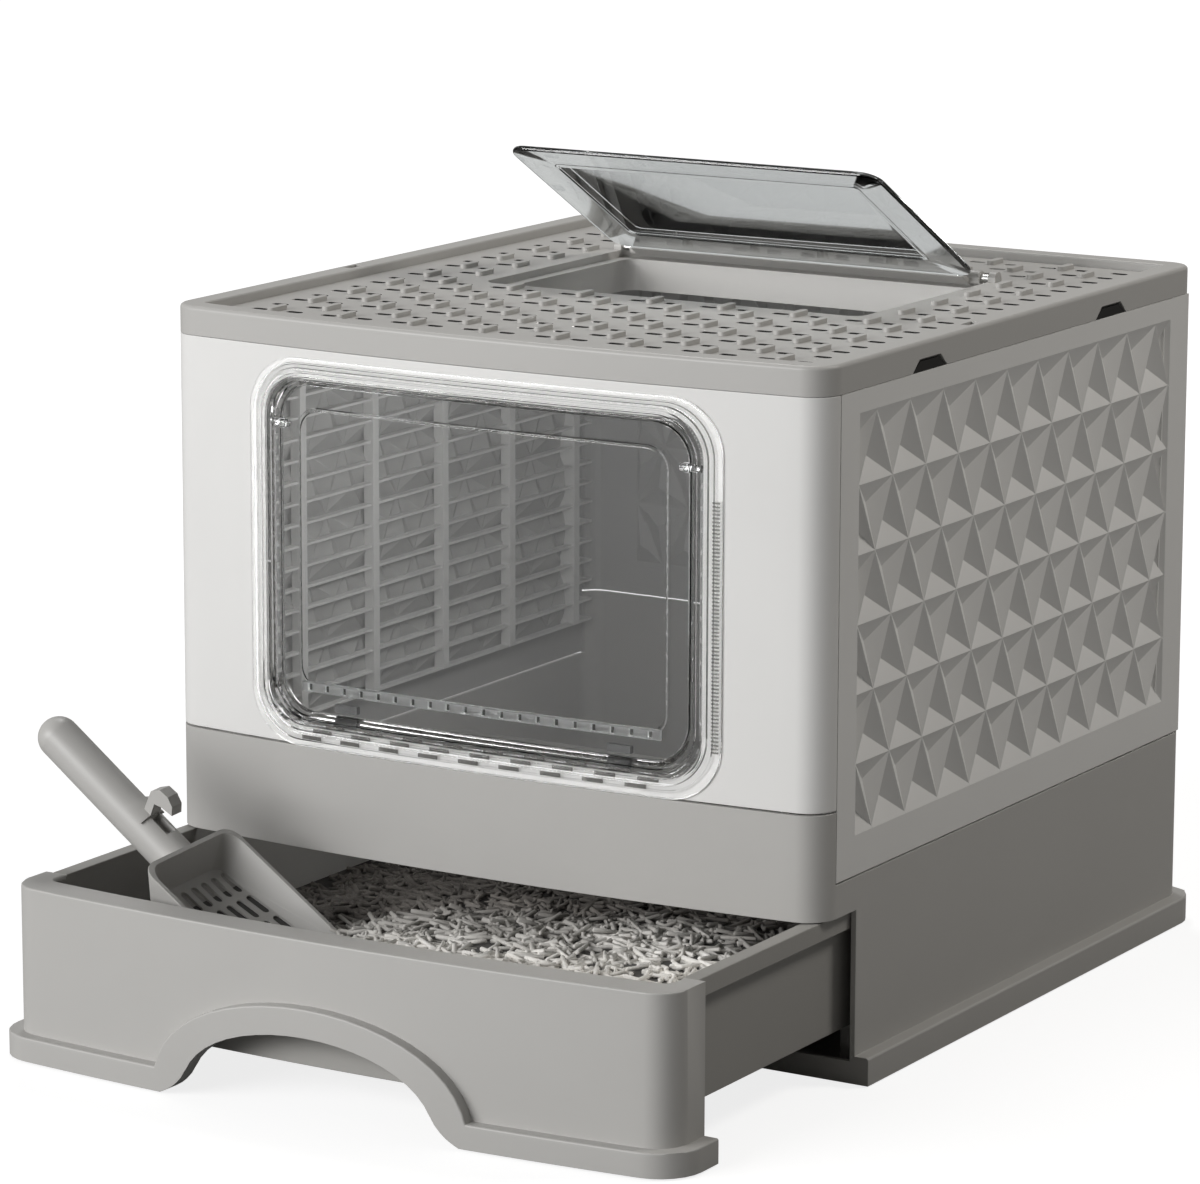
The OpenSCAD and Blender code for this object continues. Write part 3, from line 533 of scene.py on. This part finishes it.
# The drain slots' far walls get the black plastic, which is painted shade for their depth.
rounded_solid("lid", "lid_moulding", grey_plastic, radius=0.45 * MM, body="lid",
              special=((edges_at(LID_TOP, rim_outer), RIM_EDGE, 4),
                       (edges_at(LID_TOP, rim_inner), RIM_INNER_EDGE, 3),
                       (edges_at(TREAD_TOP), TREAD_EDGE, 3)),
              inside=(far_slot_wall, dark_plastic))
rounded_solid("hatch_bar", "hatch_hinge_bar", grey_plastic, radius=0.5 * MM, body="hatch")

# %% [markdown]
# The drawer's face has a hand arch at its foot, with a band that stands proud and follows the
# arch. The band's outer edge is a soft shoulder. At the floor the arch's sides spread like
# the foot of a trumpet: the face is cut at a few heights, and what is low is pushed outwards.

# %% Drawer
DRAWER_TOP, DRAWER_OUT, FOOT_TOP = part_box("drawer_front")[1].z, 148 * MM, 13.5 * MM
FACE_THICK, SIDE_X, SKIRT_X = 12 * MM, 190 * MM, 203 * MM               # the face's rim, and its ends
FACE_EDGE, RIM_BACK_EDGE, BAND_EDGE = 1.6 * MM, 2.0 * MM, 2.2 * MM
ARCH_X, ARCH_HALF, BAND_HALF = -4 * MM, 77 * MM, 96 * MM
BAND_LOW, BAND_TOP, BAND_POWER = 0.5 * MM, 58.5 * MM, 0.85
FLARE, FLARE_HEIGHT, FLARE_IN, FLARE_OUT = 15 * MM, 19 * MM, 8 * MM, 60 * MM
FLARE_CUTS = (1.0, 2.4, 4.5, 7.0, 10.5, 16.0)


def behind_face(p):
    """How far a place lies behind the drawer's bowed face."""
    return p.y - (FRONT_Y - DRAWER_OUT + bow(p.x))


def on_band(p):
    """On the outer edge of the drawer's foot, or of the band that follows the arch."""
    if behind_face(p) > -1 * MM and abs(p.x) < SKIRT_X:
        return False
    across = (p.x - ARCH_X) / BAND_HALF
    if abs(across) > 1:
        return abs(p.z - FOOT_TOP) < NEAR
    arch = BAND_LOW + (BAND_TOP - BAND_LOW) * math.sqrt(1 - across * across) ** BAND_POWER
    return abs(p.z - max(arch, FOOT_TOP)) < 1.2 * MM


def cut_through(bm, place, direction):
    """Cuts every face with a plane, so that a long flat face can be bent."""
    bmesh.ops.bisect_plane(bm, geom=bm.verts[:] + bm.edges[:] + bm.faces[:], dist=1e-7,
                           plane_co=place, plane_no=direction)


def flare_arch(bm):
    """Spreads the feet of the drawer's arch, so that its sides run out softly to the floor."""
    for height in FLARE_CUTS:
        cut_through(bm, (0, 0, height * MM), (0, 0, 1))
    for v in bm.verts:
        low = max(0.0, 1 - v.co.z / FLARE_HEIGHT)
        out = abs(v.co.x - ARCH_X) - ARCH_HALF
        if low > 0 and -FLARE_IN < out < FLARE_OUT:
            old = bow(v.co.x)
            v.co.x += math.copysign(FLARE * low ** 3 * (1 - max(0.0, out) / FLARE_OUT), v.co.x - ARCH_X)
            v.co.y += bow(v.co.x) - old


def face_rim(p):
    """On the drawer's upper edge, along its face."""
    return behind_face(p) < FACE_THICK


def rim_back(p):
    """On the drawer's upper edge, behind the face and short of its ends."""
    return behind_face(p) > FACE_THICK and abs(p.x) < SIDE_X


rounded_solid("drawer_front", "drawer_face", grey_plastic, radius=0.9 * MM, body="drawer",
              special=((edges_at(DRAWER_TOP, face_rim), FACE_EDGE, 3),
                       (edges_at(DRAWER_TOP, rim_back), RIM_BACK_EDGE, 3),
                       (both_ends(on_band), BAND_EDGE, 3)),
              reshape=flare_arch)
rounded_solid("drawer_tub", "drawer_pan", coarse_grey, radius=0.6 * MM, body="drawer")

# %% [markdown]
# The scoop and its hook need nothing but rounded edges. The small parts that are left are seen
# only in passing or not at all: they keep the solid's own mesh and get a finish.

# %% Scoop and small parts
rounded_solid("scoop", "scoop_moulding", grey_plastic, radius=0.4 * MM, body="scoop")
rounded_solid("scoop_hook", "scoop_clip", grey_plastic, radius=0.5 * MM, body="scoop")
# The litter's bed gets the darkened wood, which is painted shade.
for node, material in (("drawer_rails", grey_plastic), ("frame_magnets", nickel), ("door_magnets", nickel),
                       ("door_pins", clear), ("hatch_pins", steel), ("lid_catches", dark_plastic),
                       ("litter", bed_painted_shade)):
    nodes[node].data.materials.clear()
    nodes[node].data.materials.append(material)
    print(node, ":", material.name)

# %% [markdown]
# Inside, the side walls are stiffened by thin ribs that run from front to back, between a few
# upright posts. They are moulded with the panel and show through the window. Each bar is one
# cube from an operator, stretched to its bay, and all their edges are rounded together. Where
# the relief dents the wall inwards, a bar ends sooner, so that it doesn't come out in front.

# %% Wall ribs
panel_low, panel_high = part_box("left_panel")
RIB_PITCH, RIB_THICK, RIB_FACE = 12 * MM, 1.5 * MM, 188.0 * MM
POSTS, POST_PITCH, POST_WIDTH, POST_FACE = 6, 72 * MM, 6 * MM, 186.8 * MM
PLAIN_WALL, RELIEF_WALL = 197.6 * MM, 193.2 * MM      # how far out a bar goes, beside and behind the relief
RELIEF_Y, RELIEF_Z = (-178 * MM, 182 * MM), (133.5 * MM, 349.5 * MM)
RIBS_LOW, RIBS_HIGH = panel_low.z + 23 * MM, panel_high.z - 13 * MM
RIBS_FRONT, RIBS_REAR = panel_low.y + 6 * MM, panel_high.y - 4 * MM
FIRST_POST = panel_low.y + 20 * MM


def add_bar(bm, low, high):
    """A block between two corners."""
    low, high = Vector(low), Vector(high)
    made = bmesh.ops.create_cube(bm, size=1)["verts"]
    bmesh.ops.scale(bm, verts=made, vec=high - low)
    bmesh.ops.translate(bm, verts=made, vec=(low + high) / 2)


def wall_at(y, z):
    """How far out a bar with its middle at this place may go."""
    behind = RELIEF_Y[0] < y < RELIEF_Y[1] and RELIEF_Z[0] - RIB_THICK < z < RELIEF_Z[1] + RIB_THICK
    return RELIEF_WALL if behind else PLAIN_WALL


def wall_ribs(name, mirrored):
    bm = bmesh.new()
    posts = [FIRST_POST + POST_PITCH * i for i in range(POSTS)]
    for y in posts:
        for z0, z1 in zip((RIBS_LOW,) + RELIEF_Z, RELIEF_Z + (RIBS_HIGH,)):
            add_bar(bm, (POST_FACE, y - POST_WIDTH / 2, z0),
                    (wall_at(y, (z0 + z1) / 2), y + POST_WIDTH / 2, z1))
    rows = round((RIBS_HIGH - RIBS_LOW) / RIB_PITCH) + 1
    ends = sorted((RIBS_FRONT, RIBS_REAR, *RELIEF_Y, *posts))
    for row in range(rows):
        z = RIBS_LOW + row * RIB_PITCH
        for y0, y1 in zip(ends, ends[1:]):
            add_bar(bm, (RIB_FACE, y0, z - RIB_THICK / 2),
                    (wall_at((y0 + y1) / 2, z), y1, z + RIB_THICK / 2))
    round_edges(bm, bm.edges[:], 0.35 * MM, 1)
    if mirrored:
        bmesh.ops.scale(bm, verts=bm.verts, vec=(-1, 1, 1))
        bmesh.ops.reverse_faces(bm, faces=bm.faces)
    piece = new_piece(name, bm, white_plastic, SMOOTH_PLAIN)
    even_shading(piece)
    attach(piece, "housing")
    print(name, ":", rows, "rows of ribs and", len(posts), "posts,", len(piece.data.polygons), "faces")


wall_ribs("left_wall_ribs", True)
wall_ribs("right_wall_ribs", False)

# %% [markdown]
# The window ring, the door and the hatch are rounded rectangles with a stepped section. The
# editor would sweep a section along a path. Here one rounded rectangle is made by bevelling
# four corners, and its outline is extruded from one point of the section to the next.

# %% Lofting rounded rectangles
class Loop:
    """One rounded outline in the plane y = depth: its size, corner radius and middle."""

    def __init__(self, width, height, radius, depth, z=0.0):
        self.half = Vector((width / 2 - radius, height / 2 - radius))
        self.radius, self.depth, self.middle = radius, depth, Vector((0.0, z))

    def corner(self, right, top):
        """The middle of a corner's arc."""
        return self.middle + Vector((self.half.x if right else -self.half.x,
                                     self.half.y if top else -self.half.y))


def first_outline(bm, loop, segments):
    """A rectangle with its corners rounded. Only its edges are kept."""
    reach = loop.half + Vector((loop.radius, loop.radius))
    corners = [bm.verts.new((loop.middle.x + sx * reach.x, loop.depth, loop.middle.y + sz * reach.y))
               for sx, sz in ((-1, -1), (1, -1), (1, 1), (-1, 1))]
    bm.faces.new(corners)
    made = bmesh.ops.bevel(bm, geom=corners, offset=loop.radius, offset_type="OFFSET", segments=segments,
                           profile=0.5, affect="VERTICES", material=-1)
    face = made["verts"][0].link_faces[0]
    edges = list(face.edges)
    bmesh.ops.delete(bm, geom=[face], context="FACES_ONLY")
    return edges


def next_outline(bm, edges, old, new):
    """Extrudes the outline and moves each new point from its old corner arc to the new one."""
    made = bmesh.ops.extrude_edge_only(bm, edges=edges)["geom"]
    points = {g for g in made if isinstance(g, bmesh.types.BMVert)}
    for v in points:
        right, top = v.co.x > old.middle.x, v.co.z > old.middle.y
        out = (Vector((v.co.x, v.co.z)) - old.corner(right, top)) / old.radius
        place = new.corner(right, top) + out * new.radius
        v.co = (place.x, new.depth, place.y)
    return [g for g in made if isinstance(g, bmesh.types.BMEdge) and set(g.verts) <= points]


def loft(bm, loops, segments):
    """Joins outlines one after another, and returns the edges of the first and the last."""
    first = edges = first_outline(bm, loops[0], segments)
    for old, new in zip(loops, loops[1:]):
        edges = next_outline(bm, edges, old, new)
    return first, edges


def closed_loft(bm, loops, segments):
    """Closes both ends of a loft with a face."""
    for rim in loft(bm, loops, segments):
        bmesh.ops.contextual_create(bm, geom=rim)


# %% [markdown]
# What sits in the front is made flat, cut across at even steps, and bent to the front's bow.
# Without the cuts a long flat face would stay flat, because only its corners would move.

# %% Bending to the bow
BOW_CUTS = [10 * MM * step for step in range(-12, 13)]


def outward(bm):
    """Merges doubles and points every face outwards."""
    bmesh.ops.remove_doubles(bm, verts=bm.verts, dist=0.001 * MM)
    bmesh.ops.recalc_face_normals(bm, faces=bm.faces)


def bend_to_bow(bm, cuts=BOW_CUTS):
    """Cuts a flat piece across at the given x, and bends it to the front."""
    for x in cuts:
        cut_through(bm, (x, 0, 0), (1, 0, 0))
    for v in bm.verts:
        v.co.y += FRONT_Y + bow(v.co.x)


# %% [markdown]
# The ring round the window rises from its outer edge in low steps to three ridges, and falls
# from there to the gap round the door. Its section is a list of points, each with its share of
# the way in to the hole and its height over the panel. In clear plastic each step bends the
# light, which gives the bright lines. The steep walls of the ridges get a dark plastic, which is
# painted shade and gives the dark lines.

# %% Window ring
ring_low, ring_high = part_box("window_frame")
door_low, door_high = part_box("door_pane")
ring_middle, door_middle = (ring_low.z + ring_high.z) / 2, (door_low.z + door_high.z) / 2
RING_WIDTH, RING_HEIGHT, RING_RADIUS = ring_high.x - ring_low.x, ring_high.z - ring_low.z, 30 * MM
DOOR_WIDTH, DOOR_HEIGHT, DOOR_RADIUS = door_high.x - door_low.x, door_high.z - door_low.z, 21 * MM
DOOR_GAP, RING_SEAT = 1 * MM, 0.05       # round the door, and in millimetres between the ring and the panel
HOLE_WIDTH, HOLE_HEIGHT = DOOR_WIDTH + 2 * DOOR_GAP, DOOR_HEIGHT + 2 * DOOR_GAP
HOLE_RADIUS = DOOR_RADIUS + DOOR_GAP
BODY_INSET, BODY_BACK = 11.4 * MM, -5.9 * MM
# The smoky walls are the steep walls that get the painted shade.
STEP_PROUD, STEEP = 1.3 * MM, 0.45       # where the smoky walls start, and how steep a face has to be
RING_SECTION = (  # share of the way in to the hole, height over the panel in millimetres
    (0.000, RING_SEAT), (0.000, 1.10), (0.030, 1.60), (0.050, 1.70), (0.185, 1.70), (0.205, 1.10),
    (0.240, 1.10), (0.260, 1.90), (0.350, 2.00), (0.380, 2.30), (0.400, 3.50), (0.425, 3.90), (0.440, 3.95),
    (0.495, 3.95), (0.525, 3.10), (0.560, 3.10), (0.590, 3.85), (0.660, 3.85), (0.690, 2.70), (0.730, 2.70),
    (0.755, 3.20), (0.820, 3.20), (0.850, 1.50), (0.900, 1.40), (0.930, 0.50), (1.000, -0.40),
    (1.000, BODY_BACK / MM))


def ring_outline(share, height):
    """The ring's outline at a share of the way in to the hole."""
    width, tall, radius, middle = (outer + share * (inner - outer) for outer, inner in (
        (RING_WIDTH, HOLE_WIDTH), (RING_HEIGHT, HOLE_HEIGHT), (RING_RADIUS, HOLE_RADIUS),
        (ring_middle, door_middle)))
    return Loop(width, tall, radius, -height * MM, middle)


def on_step(face):
    """A steep wall of a ridge, clear of the panel."""
    p = face.calc_center_median()
    return abs(face.normal.y) < STEEP and p.y < FRONT_Y + bow(p.x) - STEP_PROUD


loops = [ring_outline(share, height) for share, height in RING_SECTION]
body_size = (RING_WIDTH - 2 * BODY_INSET, RING_HEIGHT - 2 * BODY_INSET, RING_RADIUS - BODY_INSET)
loops += [Loop(*body_size, -BODY_BACK, ring_middle), Loop(*body_size, -RING_SEAT * MM, ring_middle), loops[0]]
bm = bmesh.new()
loft(bm, loops, segments=12)
outward(bm)
bend_to_bow(bm)
# The steep walls get the dark clear plastic, which is painted shade.
steps = list(filter(on_step, bm.faces))
for face in steps:
    face.material_index = 1
ring = new_piece("window_ring", bm, ring_clear, SMOOTH_CLEAR)
ring.data.materials.append(painted_shade_clear)
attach(ring, "housing")
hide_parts("window_frame")
print("window ring:", len(ring.data.polygons), "faces,", len(steps), "of them shaded steps")

# %% [markdown]
# The right flange carries a comb of fine ribs, and the foot of the ring has short blocks in
# three staggered rows. They are clear bars, and they stand a third of a millimetre proud of
# the ring's face. Their slightly darker grey is painted shade.

# %% Ring ribs
COMB_X, COMB_Z, COMB_PITCH, COMB_RIB = (138.9 * MM, 142.9 * MM), (176 * MM, 306 * MM), 1.95 * MM, 0.9 * MM
COMB_PROUD, COMB_FOOT = 2.0 * MM, 1.5 * MM
BLOCKS, BLOCK, BLOCK_TALL = 9, 12 * MM, 2.2 * MM
BLOCK_FIRST, BLOCK_PITCH, BLOCK_SHIFT = -110 * MM, 25 * MM, 8 * MM
BLOCK_PROUD, BLOCK_SUNK = 0.3, 0.2                                       # millimetres over and under the face
BLOCK_ROWS = ((0.30, 1.95), (0.545, 3.10), (0.71, 2.70))                 # share and height, as in the section
bm = bmesh.new()
for i in range(round((COMB_Z[1] - COMB_Z[0]) / COMB_PITCH)):
    z = COMB_Z[0] + i * COMB_PITCH
    add_bar(bm, (COMB_X[0], -COMB_PROUD, z), (COMB_X[1], -COMB_FOOT, z + COMB_RIB))
for row, (share, height) in enumerate(BLOCK_ROWS):
    z = ring_low.z + share * (door_low.z - DOOR_GAP - ring_low.z)
    for i in range(BLOCKS):
        x = BLOCK_FIRST + i * BLOCK_PITCH + row * BLOCK_SHIFT
        add_bar(bm, (x, -(height + BLOCK_PROUD) * MM, z - BLOCK_TALL / 2),
                (x + BLOCK, -(height - BLOCK_SUNK) * MM, z + BLOCK_TALL / 2))
bend_to_bow(bm)
ring_ribs = new_piece("ring_ribs", bm, ribs_painted_shade, SMOOTH_CLEAR)
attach(ring_ribs, "housing")
print("ring ribs:", len(ring_ribs.data.polygons), "faces")


# %% [markdown]
# The door is a thin clear pane with a raised line near its edge, and two short bosses hold
# its pivot pins. Its outline is lofted like the ring's, and a face closes each end.

# %% Door
def joint(name):
    """What the frame says of a joint."""
    return next(j for j in frame["joints"] if j["name"] == name)


BOSS_RADIUS, BOSS_LENGTH, BOSS_FROM, PANE_THICK = 2.6 * MM, 3 * MM, 121.4 * MM, 2.5 * MM
DOOR_SECTION = (  # inset from the edge, height over the front face, both in millimetres
    (0.5, -2.50), (0.15, -2.35), (0.0, -2.00), (0.0, -0.50), (0.15, -0.15), (0.5, 0.00), (11.9, 0.00),
    (12.2, 0.60), (12.5, 0.75), (13.5, 0.75), (13.8, 0.60), (14.1, 0.00))
bm = bmesh.new()
closed_loft(bm, [Loop(DOOR_WIDTH - 2 * inset * MM, DOOR_HEIGHT - 2 * inset * MM,
                      DOOR_RADIUS - 0.7 * inset * MM, -height * MM, door_middle)
                 for inset, height in DOOR_SECTION], segments=10)
outward(bm)
bend_to_bow(bm)
boss_y, boss_z = FRONT_Y + bow(DOOR_WIDTH / 2) + PANE_THICK / 2, joint("door_swing")["pos_m"][2]
for side in (-1, 1):
    boss = bmesh.ops.create_cone(bm, cap_ends=True, segments=24, radius1=BOSS_RADIUS, radius2=BOSS_RADIUS,
                                 depth=BOSS_LENGTH)["verts"]
    bmesh.ops.rotate(bm, verts=boss, matrix=Matrix.Rotation(math.pi / 2, 3, "Y"))
    bmesh.ops.translate(bm, verts=boss, vec=(side * (BOSS_FROM + BOSS_LENGTH / 2), boss_y, boss_z))
door = new_piece("door_window", bm, clear, SMOOTH_CLEAR)
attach(door, "front_door")
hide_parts("door_pane")
print("door:", len(door.data.polygons), "faces")

# %% [markdown]
# A frosted grip strip runs along the door's foot, with small dark pockets like dashes. It is
# a bar with a rounded front, cut into squares. Each pocket's square is inset and pushed back,
# and its dark plastic is painted shade.

# %% Door grip
GRIP_WIDTH, GRIP_HEIGHT, GRIP_PROUD, GRIP_RISE = 220 * MM, 5.4 * MM, 2.3 * MM, 14 * MM
POCKETS, POCKET_WIDTH, POCKET_RIM, POCKET_DEPTH = 20, 2.8 * MM, 0.3 * MM, 1.5 * MM
POCKET_LEAST = 5 * MM * MM          # area over which a front face can be a pocket
middles = [(i + 0.5) * GRIP_WIDTH / POCKETS - GRIP_WIDTH / 2 for i in range(POCKETS)]


def on_pocket(face):
    """A front face in the middle of a pocket's place."""
    return (face.normal.y < -0.9 and face.calc_area() > POCKET_LEAST
            and min(abs(face.calc_center_median().x - x) for x in middles) < 0.5 * MM)


bm = bmesh.new()
add_bar(bm, (-GRIP_WIDTH / 2, -GRIP_PROUD, -GRIP_HEIGHT / 2), (GRIP_WIDTH / 2, 0.2 * MM, GRIP_HEIGHT / 2))
round_edges(bm, sharp_edges(bm, ALL_EDGES, both_ends(lambda p: p.y < 0)), 0.8 * MM, 3)
for x in middles:
    cut_through(bm, (x - POCKET_WIDTH / 2, 0, 0), (1, 0, 0))
    cut_through(bm, (x + POCKET_WIDTH / 2, 0, 0), (1, 0, 0))
pockets = list(filter(on_pocket, bm.faces))
bmesh.ops.inset_individual(bm, faces=pockets, thickness=POCKET_RIM, depth=-POCKET_DEPTH)
# The pockets get the dark clear plastic, which is painted shade.
for face in pockets:
    face.material_index = 1
bmesh.ops.translate(bm, verts=bm.verts, vec=(0, 0, door_low.z + GRIP_RISE))
bend_to_bow(bm, ())
grip = new_piece("door_grip", bm, frosted, SMOOTH_CLEAR)
grip.data.materials.append(painted_shade_clear)
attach(grip, "front_door")
print("door grip:", len(pockets), "pockets")

# %% [markdown]
# The hatch flap is a smoky pane with a raised line round a sunk middle. It is lofted standing,
# laid flat in front of its hinge, and then turned about the hinge to the angle at which it
# stands at rest.

# %% Hatch flap
flap_low, flap_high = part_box("hatch_flap")
hinge = joint("hatch_hinge")
HATCH_OPEN = -math.radians(hinge["range_deg"][0])     # the joint shuts the hatch by as much as it is open
FLAP_WIDTH, FLAP_LENGTH, FLAP_RADIUS = flap_high.x - flap_low.x, 137.85 * MM, 11 * MM
FLAP_MIDDLE, FLAP_TOP = -81.075 * MM, -2 * MM         # from the hinge, with the flap shut
FLAP_SECTION = (  # inset from the edge, height over the flap's upper face, both in millimetres
    (22.4, -2.20), (21.6, -2.90), (20.6, -3.00), (1.2, -3.00), (0.35, -2.65), (0.0, -1.80), (0.0, -1.20),
    (0.35, -0.35), (1.2, 0.00), (19.6, 0.00), (20.2, 0.70), (21.2, 0.75), (21.8, 0.15), (22.4, 0.00))
bm = bmesh.new()
closed_loft(bm, [Loop(FLAP_WIDTH - 2 * inset * MM, FLAP_LENGTH - 2 * inset * MM,
                      max(FLAP_RADIUS - 0.45 * inset * MM, 4 * MM), -height * MM)
                 for inset, height in FLAP_SECTION], segments=8)
outward(bm)
bmesh.ops.rotate(bm, verts=bm.verts, matrix=Matrix.Rotation(-math.pi / 2, 3, "X"))
bmesh.ops.translate(bm, verts=bm.verts, vec=(0, FLAP_MIDDLE, FLAP_TOP))
bmesh.ops.rotate(bm, verts=bm.verts, matrix=Matrix.Rotation(-HATCH_OPEN, 3, "X"))
bmesh.ops.translate(bm, verts=bm.verts, vec=Vector(hinge["pos_m"]))
flap = new_piece("hatch_window", bm, smoked, SMOOTH_CLEAR)
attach(flap, "hatch")
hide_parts("hatch_flap")
print("hatch:", len(flap.data.polygons), "faces")

# %% [markdown]
# The litter is thousands of short dry sticks. A particle system would scatter them in the
# editor. Here four chamfered sticks are made, and a copy of one is added to the pile for each
# place, turned and tipped at random from a fixed seed. The solid bed closes the gaps between
# them, and its darker colour is painted shade. The place under the scoop's pan is left free.

# %% Litter sticks
BED_TOP = ((-187, 35), (-140, 44), (-108, 54), (-60, 62), (-20, 71), (40, 75), (145, 72), (187, 67.3))
TUB_HALF = 186                              # this and all other sizes of the litter are in millimetres
SCOOP_ROOM = (-146, -52, -345, -259)        # left, right, front and rear
STICKS = ((17, 2.8, 2.2), (13, 2.4, 2.2), (10, 3.0, 2.0), (20, 2.6, 2.0))     # length, width and height
STICK_SIDES, STICK_CHAMFER, STICK_TIP, STICK_ROOM = 6, 0.18, 0.16, 2
STICK_LOW, STICK_HIGH = -0.6, 2.0           # how far a stick's middle lies over the bed


def bed_height(x):
    """Height of the litter at x, from straight runs between the points of the bed."""
    for (x0, z0), (x1, z1) in zip(BED_TOP, BED_TOP[1:]):
        if x <= x1:
            return z0 + (z1 - z0) * (x - x0) / (x1 - x0)
    return BED_TOP[-1][1]


def stick(length, width, height):
    """A six-sided stick along x, with chamfered ends."""
    bm = bmesh.new()
    bmesh.ops.create_cone(bm, cap_ends=True, segments=STICK_SIDES, radius1=0.5, radius2=0.5, depth=1)
    caps = [e for f in bm.faces if len(f.verts) == STICK_SIDES for e in f.edges]
    bmesh.ops.scale(bm, verts=bm.verts, vec=(width, height, length))
    bmesh.ops.bevel(bm, geom=caps, offset=STICK_CHAMFER * width, offset_type="OFFSET", segments=1,
                    profile=0.5, affect="EDGES", material=-1)
    bmesh.ops.rotate(bm, verts=bm.verts, matrix=Matrix.Rotation(math.pi / 2, 3, "Y"))
    mesh = bpy.data.meshes.new("stick")
    bm.to_mesh(mesh)
    bm.free()
    return mesh


def scatter(name, count, y_range, seed):
    """A pile of sticks between two y, each with its ends inside the pan."""
    rng = random.Random(seed)
    shapes = [(length / 2, stick(length * MM, width * MM, height * MM))
              for length, width, height in STICKS]
    bm = bmesh.new()
    for _ in range(count):
        reach, shape = rng.choice(shapes)
        heading = rng.uniform(0, math.tau)
        side = TUB_HALF - (reach + 1) * abs(math.cos(heading)) - STICK_ROOM
        x, y = rng.uniform(-side, side), rng.uniform(*y_range)
        if SCOOP_ROOM[0] < x < SCOOP_ROOM[1] and SCOOP_ROOM[2] < y < SCOOP_ROOM[3]:
            continue
        lift = STICK_LOW + (STICK_HIGH - STICK_LOW) * rng.random() ** 1.5
        spot = (Matrix.Translation((x * MM, y * MM, (bed_height(x) + lift) * MM))
                @ Matrix.Rotation(heading, 4, "Z")
                @ Matrix.Rotation(rng.gauss(0, STICK_TIP), 4, "Y")
                @ Matrix.Rotation(rng.uniform(0, math.tau), 4, "X"))
        shape.transform(spot)
        bm.from_mesh(shape)
        shape.transform(spot.inverted())
    pile = new_piece(name, bm, stick_wood, SMOOTH_STICK)
    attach(pile, "drawer")
    print(name, ":", len(pile.data.polygons), "faces")


scatter("litter_front", 3600, (-341, -120), 3)
scatter("litter_rear", 2400, (-120, 50), 4)

# %% [markdown]
# The studio has a white surround. It is white for the eye and through clear plastic, a third
# as bright in a reflection, and much weaker as a light, so that the side away from the key
# lamp stays in shade.

# %% Surround
WHITE, AMBIENT, MIRRORED = (1, 1, 1, 1), (0.076, 0.074, 0.0695, 1), 0.32
scene = bpy.context.scene
scene.view_settings.view_transform = "Standard"
world = bpy.data.worlds.new("surround")
scene.world = world
air = Tree(world)
eye = air.node("ShaderNodeLightPath", {}, {}, "Is Camera Ray")
seen = eye.larger((eye.beside("Is Glossy Ray") * MIRRORED).larger(eye.beside("Is Transmission Ray")))
sky = air.node("ShaderNodeBackground", {}, {"Color": air.blend(seen, AMBIENT, WHITE)})
air.join(air.nodes.new("ShaderNodeOutputWorld").inputs[0], sky)
print("surround: white to the eye,", AMBIENT[0], "as a light")


# %% [markdown]
# A large soft key lamp stands on the left in front. A small lamp behind lights the top, and a
# warmer one brightens the right side. The last is a weak lamp in the cabin, hidden from the
# eye, which stands for the light that comes in by the hatch and bounces about inside.

# %% Lamps
def lamp(name, place, target, size, power, colour=(1, 1, 1)):
    """An area lamp that faces a target. Its power is in watts."""
    data = bpy.data.lights.new(name, "AREA")
    data.color = colour
    data.shape = "RECTANGLE"
    data.size, data.size_y = size
    data.energy = power
    made = bpy.data.objects.new(name, data)
    scene.collection.objects.link(made)
    made.location = place
    made.rotation_euler = (Vector(target) - Vector(place)).to_track_quat("-Z", "Y").to_euler()
    print("lamp", name, ":", power, "W")
    return made


lamp("key", (-1.6, -3.5, 1.45), (0, -0.1, 0.2), (3.0, 1.6), 143)
lamp("top", (-0.9, 1.0, 2.3), (0, 0, 0.2), (0.4, 0.4), 14)
lamp("side", (1.35, 0.75, 1.85), (0.1, 0, 0.2), (0.6, 0.6), 16.6, (1, 0.968, 0.92))
inner = lamp("inner", (0.05, -0.15, 0.335), (-0.2, -0.05, 0.20), (0.05, 0.05), 0.16)
inner.visible_camera = inner.visible_transmission = inner.visible_glossy = False

# %% [markdown]
# The floor catches the shadow. It glows a little by itself where the eye sees it, and turns to
# full white away from the box, so that no horizon shows. Other rays see a plain grey floor.

# %% Floor
FLOOR_HALF, FLOOR_DROP = 6, 0.6 * MM
FADE_FROM, FADE_OVER, NEAR_GLOW = 0.7, 0.9, (0.82, 0.82, 0.82, 1)
bm = bmesh.new()
bmesh.ops.create_grid(bm, x_segments=1, y_segments=1, size=FLOOR_HALF)
bmesh.ops.translate(bm, verts=bm.verts, vec=(0, 0, -FLOOR_DROP))
pale = Finish("pale_floor")
rays = pale.node("ShaderNodeLightPath", {}, {}, "Is Camera Ray")
away = pale.node("ShaderNodeVectorMath", {"operation": "LENGTH"}, {0: pale.place}, "Value")
faded = pale.node("ShaderNodeClamp", {}, {"Value": (away - FADE_FROM) / FADE_OVER})
pale.set(Base_Color=(0.30, 0.30, 0.30, 1), Roughness=0.9, Emission_Color=pale.blend(faded, NEAR_GLOW, WHITE),
         Emission_Strength=rays.larger(rays.beside("Is Transmission Ray")))
floor = new_piece("floor", bm, pale.material, SMOOTH_PLAIN)
print("floor:", 2 * FLOOR_HALF, "m wide")

# %% Finish
bpy.context.view_layer.update()
